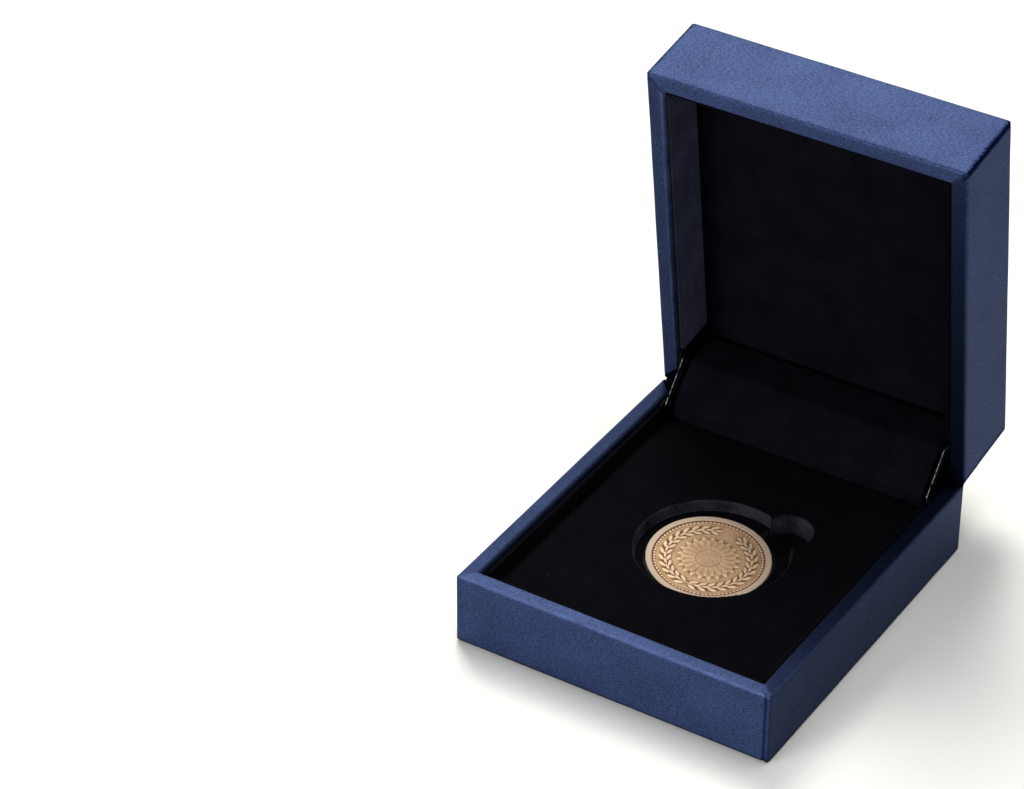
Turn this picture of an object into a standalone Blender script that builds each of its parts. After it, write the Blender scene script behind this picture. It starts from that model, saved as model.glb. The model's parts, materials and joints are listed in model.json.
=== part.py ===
"""Coin display case: a board box wrapped in leatherette, a velvet lined lid that stands open on two
slotted snap stays, and a coin in a stepped velvet well.

Metres, +Z up, +Y towards the hinged back. The origin is the centre of the underside. The lid is drawn
closed in the frame of its hinge line, and the empty on that line then opens it.
"""

import math

import bmesh
import bpy
from mathutils import Matrix

# Driving sizes
CASE_WIDTH = 0.0738
CASE_DEPTH = 0.0838
BASE_HEIGHT = 0.0170
LID_HEIGHT = 0.0198
SPLIT_GAP = 0.0004
OPEN_ANGLE = math.radians(82)
CLEARANCE = 0.0003
CUT_OVERRUN = 0.001

# The wrapped walls: leatherette skin, then board
SKIN = 0.0006
WALL_BOARD = 0.0019
CORNER_RADIUS = 0.0008
INNER_CORNER_RADIUS = 0.0003
RIM_OUTER_RADIUS = 0.0008
RIM_INNER_RADIUS = 0.0009
FOOT_RADIUS = 0.0008
FRAME_OUTER_RADIUS = 0.0011
FRAME_INNER_RADIUS = 0.0010
TURN_IN = 0.0045
TURN_UNDER = 0.0050
FLOOR_BOARD = 0.0020
BOTTOM_PAPER = 0.0009

# Velvet lining
LINER = 0.0010
LINER_DROP = 0.0010
LINER_EDGE = 0.0003
CUSHION_ROOM = 0.0080
LINING_PANEL = 0.0010
LID_BOARD = 0.0016

# Velvet insert with the coin well
INSERT_DROP = 0.0040
VELVET = 0.0006
INSERT_EDGE = 0.0012
WELL_RADIUS = 0.0167
WELL_DEPTH = 0.0026
WELL_EDGE = 0.0011
WELL_CENTRE = (0.0002, -0.0008)
NOTCH_RADIUS = 0.0056
NOTCH_CENTRE = (0.0105, 0.0126)
COIN_CENTRE = (-0.0002, -0.0016)
COIN_TILT = (math.radians(2.7), math.radians(3))

# The coin
COIN_RADIUS = 0.01325
COIN_THICKNESS = 0.0020
COIN_FIT = 0.0002
COIN_PROUD = 0.0003
COIN_RIM_WIDTH = 0.0010
COIN_RIM_HEIGHT = 0.00018
COIN_EDGE = 0.00025

# Cushion let into the lid
CUSHION_CARD = 0.0008
CUSHION_SKIN = 0.0005
CUSHION_TURN_UNDER = 0.0050
CUSHION_EDGE_DROP = 0.0017
CUSHION_CROWN = 0.0009
CUSHION_CORNER = 0.0015
CROWN_POWER = 3.0
CROWN_SHOULDER = 0.62

# Steel snap stays
STEEL = 0.0006
BEND_RADIUS = 0.0003
BRACKET_HEIGHT = 0.0064
BRACKET_DROP = 0.0011
EAR_DROP = 0.00045
EAR_REACH = 0.0039
EAR_NOSE = 0.0013
EAR_FOOT = 0.0022
EAR_ZONE = 0.0090
EAR_SIDE_GAP = 0.0001
STAY_PIVOT_REACH = 0.00638
STAY_PIVOT_DROP = 0.00118
STAY_WIDTH = 0.0020
STAY_STEEL = 0.0005
STAY_SLOT = 0.00095
STAY_GAP = 0.00025
RIVET_RADIUS = 0.00035
RIVET_RUNNING = 0.0001
RIVET_HEAD_RADIUS = 0.0008
RIVET_HEAD = 0.00035
PIN_RADIUS = 0.0006
PIN_HEAD_RADIUS = 0.0014
PIN_HEAD = 0.0005
PIN_REACH_INTO_WALL = 0.0010
PIN_DROP = 0.0060
PIN_PLACE_SHARE = 0.55

# Soft pieces that bridge the hinge line
FLAP_VELVET = 0.0006
FLAP_SIDE_GAP = 0.0003
FLAP_STRAIGHT_DROP = 0.0016
FLAP_BULGE = 0.0038
STRIP = 0.0004
STRIP_REACH = 0.0070
STRIP_BEND = 0.0013
STRIP_SIDE_INSET = 0.0004

# Counts of facets
CORNER_STEPS = 3
ARC_STEPS = 4
STAY_END_STEPS = 8
FLAP_STEPS = 12
STRIP_STEPS = 8
WELL_SEGMENTS = 56
NOTCH_SEGMENTS = 32
COIN_SEGMENTS = 64
RIVET_SEGMENTS = 16
CUSHION_SIDE_STEPS = 9
CUSHION_RINGS = 8
SMOOTH_ANGLE = math.radians(35)
CUSHION_SMOOTH_ANGLE = math.radians(60)

# Places that follow from the sizes
RIM_WIDTH = SKIN + CLEARANCE + WALL_BOARD + CLEARANCE + SKIN
BOARD_OUTER = SKIN + CLEARANCE
BOARD_INNER = BOARD_OUTER + WALL_BOARD
LINER_OUTER = RIM_WIDTH + CLEARANCE
LINER_INNER = LINER_OUTER + LINER
HALF_WIDTH = CASE_WIDTH / 2
HALF_DEPTH = CASE_DEPTH / 2
FOOT_LEVEL = CLEARANCE
BOARD_FOOT = FOOT_LEVEL + SKIN + CLEARANCE
FLOOR_TOP = BOARD_FOOT + FLOOR_BOARD
LINER_FOOT = FLOOR_TOP + CLEARANCE
HINGE_Y = HALF_DEPTH
HINGE_Z = BASE_HEIGHT + SPLIT_GAP / 2
INSERT_TOP = BASE_HEIGHT - INSERT_DROP
WELL_FLOOR = INSERT_TOP - WELL_DEPTH
COIN_TOP = WELL_FLOOR + COIN_PROUD
COIN_BOTTOM = COIN_TOP - COIN_THICKNESS
SEAT_FLOOR = COIN_BOTTOM - CLEARANCE
SEAT_RADIUS = COIN_RADIUS + COIN_FIT
FOAM_EDGE = INSERT_EDGE / 2
FOAM_WELL_EDGE = WELL_EDGE / 2
BRACKET_BACK = LINER_OUTER
BRACKET_FRONT = BRACKET_BACK + STEEL
BRACKET_BLANK_DROP = EAR_DROP / 2
PIN_HEAD_BACK = BRACKET_FRONT + CLEARANCE
PIN_X = HALF_WIDTH * PIN_PLACE_SHARE
FLAP_BACK = PIN_HEAD_BACK + PIN_HEAD + CLEARANCE
FLAP_MIDDLE = FLAP_BACK + FLAP_VELVET / 2
INSERT_BACK = FLAP_BACK + FLAP_VELVET + CLEARANCE
EAR_OUTER_X = HALF_WIDTH - LINER_OUTER - EAR_SIDE_GAP
EAR_INNER_X = EAR_OUTER_X - STEEL
STAY_OUTER_X = EAR_INNER_X - STAY_GAP
STAY_INNER_X = STAY_OUTER_X - STAY_STEEL
RIVET_HEAD_X = STAY_INNER_X - STAY_GAP
FLAP_HALF_WIDTH = RIVET_HEAD_X - RIVET_HEAD - FLAP_SIDE_GAP
STAY_ARM = math.hypot(STAY_PIVOT_REACH, STAY_PIVOT_DROP)
STAY_TILT = math.atan2(STAY_PIVOT_DROP, STAY_PIVOT_REACH)
STAY_SHORT = 2 * STAY_ARM * math.sin(STAY_TILT)
STAY_LONG = 2 * STAY_ARM * math.sin(STAY_TILT + OPEN_ANGLE / 2)
LID_RIM = SPLIT_GAP / 2
LINING_DEPTH = LID_HEIGHT - CUSHION_ROOM
FLAP_BASE_DROP = BASE_HEIGHT / 2
FLAP_LID_RISE = LID_RIM + LINING_DEPTH - 2 * CLEARANCE
LID_BOARD_TOP = LINING_DEPTH + LINING_PANEL + CLEARANCE + LID_BOARD


def clear_scene():
    for obj in list(bpy.data.objects):
        bpy.data.objects.remove(obj, do_unlink=True)


def make_material(name, colour, roughness, metallic=0.0):
    material = bpy.data.materials.new(name)
    material.use_nodes = True
    shader = material.node_tree.nodes["Principled BSDF"]
    shader.inputs["Base Color"].default_value = (*colour, 1)
    shader.inputs["Roughness"].default_value = roughness
    shader.inputs["Metallic"].default_value = metallic
    material.diffuse_color = (*colour, 1)
    return material


def make_empty(name, place, turn):
    empty = bpy.data.objects.new(name, None)
    bpy.context.collection.objects.link(empty)
    empty.location = place
    empty.rotation_euler = (turn, 0, 0)
    return empty


def add_object(name, mesh_data, material=None, parent=None):
    mesh_data.update()
    obj = bpy.data.objects.new(name, mesh_data)
    bpy.context.collection.objects.link(obj)
    obj.parent = parent
    if material:
        mesh_data.materials.append(material)
    return obj


def finish_mesh(name, build):
    """Turns a bmesh into a mesh with its faces out."""
    bmesh.ops.recalc_face_normals(build, faces=build.faces)
    mesh = bpy.data.meshes.new(name)
    build.to_mesh(mesh)
    build.free()
    return mesh


def smooth(obj, angle=SMOOTH_ANGLE):
    obj.data.shade_smooth()
    obj.data.set_sharp_from_angle(angle=angle)
    return obj


def arc(centre, radius, start, end, steps=ARC_STEPS):
    """Points from start to end, in degrees, round a centre in the plane of (inset, height)."""
    angles = [math.radians(start + (end - start) * i / steps) for i in range(steps + 1)]
    return [(centre[0] + radius * math.cos(a), centre[1] + radius * math.sin(a)) for a in angles]


def ring(half_x, half_y, centre_y, corner_radius, height, side_steps=1):
    """A rectangle with rounded corners, as points in order."""
    points = []
    for quarter, (sign_x, sign_y) in enumerate(((1, 1), (-1, 1), (-1, -1), (1, -1))):
        corner = (sign_x * (half_x - corner_radius), sign_y * (half_y - corner_radius))
        points += arc(corner, corner_radius, quarter * 90, quarter * 90 + 90, CORNER_STEPS)
    if side_steps > 1:
        points = split_sides(points, side_steps)
    return [(x, y + centre_y, height) for x, y in points]


def split_sides(points, side_steps):
    """The same outline with each straight side between two corners cut into equal steps."""
    split = []
    for index, point in enumerate(points):
        split.append(point)
        if index % (CORNER_STEPS + 1) != CORNER_STEPS:
            continue
        following = points[(index + 1) % len(points)]
        for step in range(1, side_steps):
            share = step / side_steps
            split.append(tuple(a + (b - a) * share for a, b in zip(point, following)))
    return split


def bridge(build, rings, closed):
    """Quads between each ring of points and the next, and back to the first when closed."""
    loops = [[build.verts.new(point) for point in points] for points in rings]
    pairs = list(zip(loops, loops[1:])) + ([(loops[-1], loops[0])] if closed else [])
    for low, high in pairs:
        for i in range(len(low)):
            j = (i + 1) % len(low)
            build.faces.new((low[i], low[j], high[j], high[i]))
    return loops


def wrapped_ring(name, profile, centre_y, base_height, material, parent=None):
    """A profile of (inset, height) led round the four sides of the case."""
    rings = []
    for inset, height in profile:
        radius = max(CORNER_RADIUS - inset, INNER_CORNER_RADIUS)
        place = (HALF_WIDTH - inset, HALF_DEPTH - inset, centre_y)
        rings.append(ring(*place, radius, base_height + height))
    build = bmesh.new()
    bridge(build, rings, closed=True)
    return smooth(add_object(name, finish_mesh(name, build), material, parent))


def box_mesh(name, low, high):
    build = bmesh.new()
    bmesh.ops.create_cube(build, size=1)
    size = [h - l for l, h in zip(low, high)]
    middle = [(l + h) / 2 for l, h in zip(low, high)]
    bmesh.ops.transform(build, matrix=Matrix.Diagonal((*size, 1)), verts=build.verts)
    bmesh.ops.translate(build, vec=middle, verts=build.verts)
    return finish_mesh(name, build)


def block(name, low, high, material, parent=None, edge=0):
    obj = add_object(name, box_mesh(name, low, high), material, parent)
    if edge:
        soften(obj, edge)
    return obj


def soften(obj, width, segments=2):
    bevel = obj.modifiers.new("rounded edges", "BEVEL")
    bevel.width = width
    bevel.segments = segments
    bevel.limit_method = "ANGLE"
    return obj


def prism_mesh(name, outline, along, low, high):
    """An outline extruded along X or Z. Along X it is (y, z), and along Z it is (x, y)."""
    place = (lambda u, v, w: (w, u, v)) if along == "X" else (lambda u, v, w: (u, v, w))
    build = bmesh.new()
    start = [build.verts.new(place(u, v, low)) for u, v in outline]
    end = [build.verts.new(place(u, v, high)) for u, v in outline]
    build.faces.new(start)
    build.faces.new(list(reversed(end)))
    for i in range(len(outline)):
        j = (i + 1) % len(outline)
        build.faces.new((start[i], end[i], end[j], start[j]))
    return finish_mesh(name, build)


def prism(name, outline, along, low, high, material=None, parent=None):
    return add_object(name, prism_mesh(name, outline, along, low, high), material, parent)


def turned_mesh(name, profile, segments, centre=(0, 0)):
    """A solid of revolution about the vertical through centre. The profile runs from axis to axis."""
    build = bmesh.new()
    turns = [2 * math.pi * i / segments for i in range(segments)]
    rings = []
    for radius, height in profile[1:-1]:
        points = [(centre[0] + radius * math.cos(t), centre[1] + radius * math.sin(t)) for t in turns]
        rings.append([(x, y, height) for x, y in points])
    loops = bridge(build, rings, closed=False)
    for loop, (_, height) in ((loops[0], profile[0]), (loops[-1], profile[-1])):
        tip = build.verts.new((*centre, height))
        for i in range(segments):
            build.faces.new((loop[i], loop[(i + 1) % segments], tip))
    return finish_mesh(name, build)


def pin_mesh(name, steps, segments, axis):
    """A stepped round pin along X or Y from a list of (place along the axis, radius)."""
    profile = [(0, steps[0][0])] + [(radius, place) for place, radius in steps] + [(0, steps[-1][0])]
    mesh = turned_mesh(name, profile, segments)
    turn = Matrix.Rotation(math.pi / 2, 4, "Y") if axis == "X" else Matrix.Rotation(-math.pi / 2, 4, "X")
    mesh.transform(turn)
    return mesh


def cut(target, cutter, operation="DIFFERENCE"):
    """A Boolean that stays on the target, with a cutter that isn't part of the case."""
    cutter.hide_render = True
    cutter.display_type = "WIRE"
    cutter.parent = target.parent
    boolean = target.modifiers.new(cutter.name, "BOOLEAN")
    boolean.operation = operation
    boolean.solver = "EXACT"
    boolean.object = cutter
    return target


def base_cover_profile():
    """Under the edge, up the outside, over the rim and down inside, then back along the inner face."""
    foot = (FOOT_RADIUS, FOOT_LEVEL + FOOT_RADIUS)
    outer = (RIM_OUTER_RADIUS, BASE_HEIGHT - RIM_OUTER_RADIUS)
    inner = (RIM_WIDTH - RIM_INNER_RADIUS, BASE_HEIGHT - RIM_INNER_RADIUS)
    turned = BASE_HEIGHT - TURN_IN
    skin_side = [(TURN_UNDER, FOOT_LEVEL)] + arc(foot, FOOT_RADIUS, 270, 180)
    skin_side += arc(outer, RIM_OUTER_RADIUS, 180, 90) + arc(inner, RIM_INNER_RADIUS, 90, 0)
    skin_side += [(RIM_WIDTH, turned)]
    glue_side = [(RIM_WIDTH - SKIN, turned)] + arc(inner, RIM_INNER_RADIUS - SKIN, 0, 90)
    glue_side += arc(outer, RIM_OUTER_RADIUS - SKIN, 90, 180) + arc(foot, FOOT_RADIUS - SKIN, 180, 270)
    return skin_side + glue_side + [(TURN_UNDER, FOOT_LEVEL + SKIN)]


def lid_cover_profile():
    """From inside the rim, round it, up the outside, over the frame and down to the cushion's seat."""
    inner = (RIM_WIDTH - RIM_INNER_RADIUS, RIM_INNER_RADIUS)
    outer = (RIM_OUTER_RADIUS, RIM_OUTER_RADIUS)
    top = (FRAME_OUTER_RADIUS, LID_HEIGHT - FRAME_OUTER_RADIUS)
    seat = (RIM_WIDTH - FRAME_INNER_RADIUS, LID_HEIGHT - FRAME_INNER_RADIUS)
    end = LID_BOARD_TOP + CLEARANCE
    skin_side = [(RIM_WIDTH, TURN_IN)] + arc(inner, RIM_INNER_RADIUS, 0, -90)
    skin_side += arc(outer, RIM_OUTER_RADIUS, -90, -180) + arc(top, FRAME_OUTER_RADIUS, 180, 90)
    skin_side += arc(seat, FRAME_INNER_RADIUS, 90, 0) + [(RIM_WIDTH, end)]
    glue_side = [(RIM_WIDTH - SKIN, end)] + arc(seat, FRAME_INNER_RADIUS - SKIN, 0, 90)
    glue_side += arc(top, FRAME_OUTER_RADIUS - SKIN, 90, 180)
    glue_side += arc(outer, RIM_OUTER_RADIUS - SKIN, -180, -90) + arc(inner, RIM_INNER_RADIUS - SKIN, -90, 0)
    return skin_side + glue_side + [(RIM_WIDTH - SKIN, TURN_IN)]


def wall_boards(half, centre_y, low, high, material, parent=None):
    """Four boards, butted: front and back run the full width, left and right stand between them."""
    outer_x, inner_x = HALF_WIDTH - BOARD_OUTER, HALF_WIDTH - BOARD_INNER
    outer_y, inner_y = HALF_DEPTH - BOARD_OUTER, HALF_DEPTH - BOARD_INNER
    between = inner_y - CLEARANCE
    spans = {
        "wall_front": ((-outer_x, centre_y - outer_y), (outer_x, centre_y - inner_y)),
        "wall_back": ((-outer_x, centre_y + inner_y), (outer_x, centre_y + outer_y)),
        "wall_left": ((-outer_x, centre_y - between), (-inner_x, centre_y + between)),
        "wall_right": ((inner_x, centre_y - between), (outer_x, centre_y + between)),
    }
    boards = {}
    for place, (near, far) in spans.items():
        name = f"{half}_{place}"
        boards[place] = block(name, (*near, low), (*far, high), material, parent)
    return boards


def velvet_liners(half, centre_y, low, high, material, parent=None):
    """Velvet covered cards inside the front and the two sides. The sides stop short of the stays."""
    outer_x, inner_x = HALF_WIDTH - LINER_OUTER, HALF_WIDTH - LINER_INNER
    front_outer = centre_y - HALF_DEPTH + LINER_OUTER
    front_inner = front_outer + LINER
    side_front = front_inner + CLEARANCE
    side_back = centre_y + HALF_DEPTH - EAR_ZONE
    spans = {
        "liner_front": ((-outer_x, front_outer), (outer_x, front_inner)),
        "liner_left": ((-outer_x, side_front), (-inner_x, side_back)),
        "liner_right": ((inner_x, side_front), (outer_x, side_back)),
    }
    for place, (near, far) in spans.items():
        block(f"{half}_{place}", (*near, low), (*far, high), material, parent, LINER_EDGE)


def well_cutter(name, radius, floor, top, edge, segments, centre):
    """A round hollow with a softly rolled mouth that flares out to the surface."""
    mouth = arc((radius + edge, top - edge), edge, 180, 90)
    profile = [(0, floor), (radius, floor)] + mouth
    profile += [(radius + edge, top + CUT_OVERRUN), (0, top + CUT_OVERRUN)]
    return add_object(name, turned_mesh(name, profile, segments, centre))


def seat_cutter(name, lower, wider):
    """The coin's own seat, leaning with the coin, from its floor to just over the step round it."""
    reach = INSERT_TOP - SEAT_FLOOR
    profile = [(0, -lower), (SEAT_RADIUS + wider, -lower), (SEAT_RADIUS + wider, reach), (0, reach)]
    cutter = add_object(name, turned_mesh(name, profile, WELL_SEGMENTS))
    cutter.location = (*COIN_CENTRE, SEAT_FLOOR)
    cutter.rotation_euler = (*COIN_TILT, 0)
    return cutter


def hollow_wells(target, lower, wider, edge):
    """The coin's seat, the wider step above it and the finger notch, cut into a block."""
    top = INSERT_TOP - lower
    hollows = (
        ("well", WELL_RADIUS + wider, WELL_FLOOR - lower, WELL_SEGMENTS, WELL_CENTRE),
        ("notch", NOTCH_RADIUS + wider, SEAT_FLOOR - lower, NOTCH_SEGMENTS, NOTCH_CENTRE),
    )
    cut(target, seat_cutter(f"{target.name}_seat_cutter", lower, wider))
    for place, radius, floor, segments, centre in hollows:
        name = f"{target.name}_{place}_cutter"
        cut(target, well_cutter(name, radius, floor, top, edge, segments, centre))


def insert_block_mesh(name, inset, foot, top, edge):
    """A rectangular block with a rounded upper edge and upright corners."""
    half_x = HALF_WIDTH - LINER_INNER - CLEARANCE - inset
    front = -HALF_DEPTH + LINER_INNER + CLEARANCE + inset
    back = HALF_DEPTH - INSERT_BACK - inset
    half_y, centre_y = (back - front) / 2, (back + front) / 2
    rings = [ring(half_x, half_y, centre_y, edge, foot)]
    for step, level in arc((-edge, top - edge), edge, 0, 90):
        shrink = -step
        rings.append(ring(half_x - shrink, half_y - shrink, centre_y, edge, level))
    build = bmesh.new()
    loops = bridge(build, rings, closed=False)
    build.faces.new(loops[0])
    build.faces.new(loops[-1])
    return finish_mesh(name, build)


def make_insert(velvet, foam):
    """A foam block and the velvet stretched over it, both with the same hollows one skin apart."""
    gap = VELVET + CLEARANCE
    core_mesh = insert_block_mesh("insert_foam", gap, LINER_FOOT, INSERT_TOP - gap, FOAM_EDGE)
    core = add_object("insert_foam", core_mesh, foam)
    hollow_wells(core, gap, gap, FOAM_WELL_EDGE)
    skin_mesh = insert_block_mesh("insert_velvet", 0, LINER_FOOT, INSERT_TOP, INSERT_EDGE)
    skin = add_object("insert_velvet", skin_mesh, velvet)
    cut(skin, velvet_room_cutter())
    hollow_wells(skin, 0, 0, WELL_EDGE)
    smooth(core)
    smooth(skin)


def velvet_room_cutter():
    """What the velvet is hollowed by: the block one skin in, kept whole round each hollow."""
    name = "insert_room_cutter"
    foot = LINER_FOOT - CUT_OVERRUN
    mesh = insert_block_mesh(name, VELVET, foot, INSERT_TOP - VELVET, INSERT_EDGE - VELVET)
    cutter = add_object(name, mesh)
    hollow_wells(cutter, VELVET, VELVET, FOAM_WELL_EDGE)
    return cutter


def make_coin(metal):
    """A struck disc: a raised rim on both faces round a lower field, leaning a little in its seat."""
    rim_inner = COIN_RADIUS - COIN_RIM_WIDTH - COIN_EDGE
    rim_outer = COIN_RADIUS - COIN_EDGE
    field = COIN_THICKNESS - COIN_RIM_HEIGHT
    upper = [(0, field), (rim_inner - COIN_RIM_HEIGHT, field), (rim_inner, COIN_THICKNESS)]
    upper += [(rim_outer, COIN_THICKNESS), (COIN_RADIUS, COIN_THICKNESS - COIN_EDGE)]
    lower = [(radius, COIN_THICKNESS - height) for radius, height in reversed(upper)]
    mesh = turned_mesh("coin", upper + lower, COIN_SEGMENTS)
    obj = smooth(add_object("coin", mesh, metal))
    obj.location = (*COIN_CENTRE, COIN_BOTTOM)
    obj.rotation_euler = (*COIN_TILT, 0)


def crown(x, y, half_x, half_y, edge, middle):
    """Height of the stuffed cushion: steep by the frame, nearly flat in the middle."""
    across = max(0, 1 - abs(x / half_x) ** CROWN_POWER)
    along = max(0, 1 - abs(y / half_y) ** CROWN_POWER)
    return edge + (middle - edge) * (across * along) ** CROWN_SHOULDER


def crowned_rings(inset, edge, middle, centre_y):
    """Rings from the cushion's border to its middle, raised to the crown."""
    half_x, half_y = HALF_WIDTH - inset, HALF_DEPTH - inset
    rings = []
    for step in range(CUSHION_RINGS):
        share = math.cos(math.pi / 2 * step / CUSHION_RINGS)
        corner = CUSHION_CORNER * share
        flat = ring(half_x * share, half_y * share, 0, corner, 0, CUSHION_SIDE_STEPS)
        heights = [crown(x, y, half_x, half_y, edge, middle) for x, y, _ in flat]
        rings.append([(x, y + centre_y, h) for (x, y, _), h in zip(flat, heights)])
    return rings


def border_ring(inset, height, centre_y):
    half_x, half_y = HALF_WIDTH - inset, HALF_DEPTH - inset
    return ring(half_x, half_y, centre_y, CUSHION_CORNER, height, CUSHION_SIDE_STEPS)


def make_cushion(leatherette, foam, card, parent):
    """Leatherette over foam over a card, turned under the card's edge, in the frame of the lid."""
    centre_y = -HALF_DEPTH
    outer = RIM_WIDTH + CLEARANCE
    inner = outer + CUSHION_SKIN
    seat = LID_RIM + LID_BOARD_TOP + CLEARANCE
    edge = LID_RIM + LID_HEIGHT - CUSHION_EDGE_DROP
    middle = LID_RIM + LID_HEIGHT + CUSHION_CROWN
    card_low = seat + CUSHION_SKIN + CLEARANCE
    foam_low = card_low + CUSHION_CARD + CLEARANCE
    filling = inner + CLEARANCE

    skin = bmesh.new()
    turned = outer + CUSHION_TURN_UNDER
    lower = [border_ring(turned, seat, centre_y), border_ring(outer, seat, centre_y)]
    upper = crowned_rings(outer, edge, middle, centre_y)
    inside = crowned_rings(inner, edge - CUSHION_SKIN, middle - CUSHION_SKIN, centre_y)
    shelf = seat + CUSHION_SKIN
    back = [border_ring(inner, shelf, centre_y), border_ring(turned, shelf, centre_y)]
    loops = bridge(skin, lower + upper, closed=False)
    inner_loops = bridge(skin, list(reversed(inside)) + back, closed=False)
    skin.faces.new(loops[-1])
    skin.faces.new(inner_loops[0])
    for i in range(len(loops[0])):
        j = (i + 1) % len(loops[0])
        skin.faces.new((loops[0][i], loops[0][j], inner_loops[-1][j], inner_loops[-1][i]))
    cover = add_object("cushion_cover", finish_mesh("cushion_cover", skin), leatherette, parent)
    smooth(cover, CUSHION_SMOOTH_ANGLE)

    stuffing = bmesh.new()
    drop = CUSHION_SKIN + CLEARANCE
    dome = crowned_rings(filling, edge - drop, middle - drop, centre_y)
    loops = bridge(stuffing, [border_ring(filling, foam_low, centre_y)] + dome, closed=False)
    stuffing.faces.new(loops[0])
    stuffing.faces.new(loops[-1])
    filled = add_object("cushion_foam", finish_mesh("cushion_foam", stuffing), foam, parent)
    smooth(filled, CUSHION_SMOOTH_ANGLE)

    stiffener = bmesh.new()
    levels = (card_low, card_low + CUSHION_CARD)
    loops = bridge(stiffener, [border_ring(filling, level, centre_y) for level in levels], closed=False)
    stiffener.faces.new(loops[0])
    stiffener.faces.new(loops[-1])
    add_object("cushion_card", finish_mesh("cushion_card", stiffener), card, parent)


def bracket_plan():
    """The bent strip seen from above: a plate along the back with an ear at each end."""
    back, front = -BRACKET_BACK, -BRACKET_FRONT
    nose = front - EAR_REACH
    outer_bend = BEND_RADIUS + STEEL
    right = [(EAR_OUTER_X, nose)]
    right += arc((EAR_OUTER_X - outer_bend, back - outer_bend), outer_bend, 0, 90)
    left = [(-x, y) for x, y in reversed(right)]
    inner_left = [(-EAR_INNER_X, nose)]
    inner_left += arc((-EAR_INNER_X + BEND_RADIUS, front - BEND_RADIUS), BEND_RADIUS, 180, 90)
    inner_right = [(-x, y) for x, y in reversed(inner_left)]
    return right + left + inner_left + inner_right


def ear_side_outline(side):
    """What the bent strip is trimmed to, seen from the side: side is -1 in the base and 1 in the lid."""
    front = -BRACKET_FRONT
    nose = front - EAR_REACH
    foot = BRACKET_DROP + BRACKET_HEIGHT + CUT_OVERRUN
    back = -BRACKET_BACK + CUT_OVERRUN
    shoulder = -STAY_PIVOT_REACH + EAR_NOSE
    top = [(back, foot), (back, BRACKET_DROP), (-BRACKET_BACK, BRACKET_DROP), (shoulder, EAR_DROP)]
    rounding = arc((nose + EAR_NOSE, EAR_DROP + EAR_NOSE), EAR_NOSE, 270, 180)
    lower = [(nose, EAR_DROP + 2 * EAR_NOSE), (front - EAR_FOOT, foot)]
    return [(y, side * z) for y, z in top + rounding + lower]


def make_bracket(half, side, steel, parent):
    """Sheet steel, bent to a channel, with a hole in each ear and two pinned holes in its back."""
    name = f"{half}_hinge_bracket"
    far = side * (BRACKET_DROP + BRACKET_HEIGHT)
    near = side * BRACKET_BLANK_DROP
    mesh = prism_mesh(name, bracket_plan(), "Z", min(far, near), max(far, near))
    obj = add_object(name, mesh, steel, parent)
    reach = EAR_OUTER_X + CUT_OVERRUN
    cut(obj, prism(f"{name}_side_cutter", ear_side_outline(side), "X", -reach, reach), "INTERSECT")
    levels = sorted((0, side * BRACKET_DROP))
    low = (-EAR_INNER_X + EAR_NOSE, -BRACKET_FRONT - CUT_OVERRUN, levels[0])
    high = (EAR_INNER_X - EAR_NOSE, -BRACKET_BACK + CUT_OVERRUN, levels[1])
    cut(obj, add_object(f"{name}_top_cutter", box_mesh(f"{name}_top_cutter", low, high)))
    pivot = (-STAY_PIVOT_REACH, side * STAY_PIVOT_DROP)
    hole = round_cutter(f"{name}_pivot_cutter", "X", reach, RIVET_RADIUS + RIVET_RUNNING)
    hole.location = (0, *pivot)
    cut(obj, hole)
    through = BRACKET_FRONT + CUT_OVERRUN
    for end in (-1, 1):
        cutter = round_cutter(f"{name}_pin_cutter_{end}", "Y", through, PIN_RADIUS + CLEARANCE)
        cutter.location = (end * PIN_X, 0, side * PIN_DROP)
        cut(obj, cutter)
    return obj


def round_cutter(name, axis, reach, radius):
    return add_object(name, pin_mesh(name, [(-reach, radius), (reach, radius)], RIVET_SEGMENTS, axis))


def pin_bracket_to_wall(half, side, wall, metal, parent):
    """Two headed pins hold the bracket's back to the wall board, in blind holes."""
    reach = BOARD_INNER - PIN_REACH_INTO_WALL
    tip = BOARD_INNER - PIN_REACH_INTO_WALL - CLEARANCE
    for end, place in ((-1, "left"), (1, "right")):
        name = f"{half}_bracket_pin_{place}"
        head_front = -PIN_HEAD_BACK - PIN_HEAD
        steps = [(head_front, PIN_HEAD_RADIUS), (-PIN_HEAD_BACK, PIN_HEAD_RADIUS)]
        steps += [(-PIN_HEAD_BACK, PIN_RADIUS), (-reach, PIN_RADIUS)]
        obj = smooth(add_object(name, pin_mesh(name, steps, RIVET_SEGMENTS, "Y"), metal, parent))
        obj.location = (end * PIN_X, 0, side * PIN_DROP)
        hole = [(-BRACKET_FRONT, PIN_RADIUS + CLEARANCE), (-tip, PIN_RADIUS + CLEARANCE)]
        cutter = add_object(f"{name}_cutter", pin_mesh(f"{name}_cutter", hole, RIVET_SEGMENTS, "Y"))
        cut(wall, cutter)
        cutter.location = obj.location


def make_ear_rivet(name, sign, side, metal, parent):
    """A small rivet through the ear and the stay, with its head on the inside."""
    head_end = RIVET_HEAD_X - RIVET_HEAD
    steps = [(head_end, RIVET_HEAD_RADIUS), (RIVET_HEAD_X, RIVET_HEAD_RADIUS)]
    steps += [(RIVET_HEAD_X, RIVET_RADIUS), (EAR_OUTER_X, RIVET_RADIUS)]
    if sign < 0:
        steps = [(-place, radius) for place, radius in reversed(steps)]
    obj = smooth(add_object(name, pin_mesh(name, steps, RIVET_SEGMENTS, "X"), metal, parent))
    obj.location = (0, -STAY_PIVOT_REACH, side * STAY_PIVOT_DROP)


def rounded_bar(start, end, radius):
    """A bar with round ends, upright in (y, z), from the centre of one end to the other."""
    lower = arc((0, start), radius, 180, 360, STAY_END_STEPS)
    return lower + arc((0, end), radius, 0, 180, STAY_END_STEPS)


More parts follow.
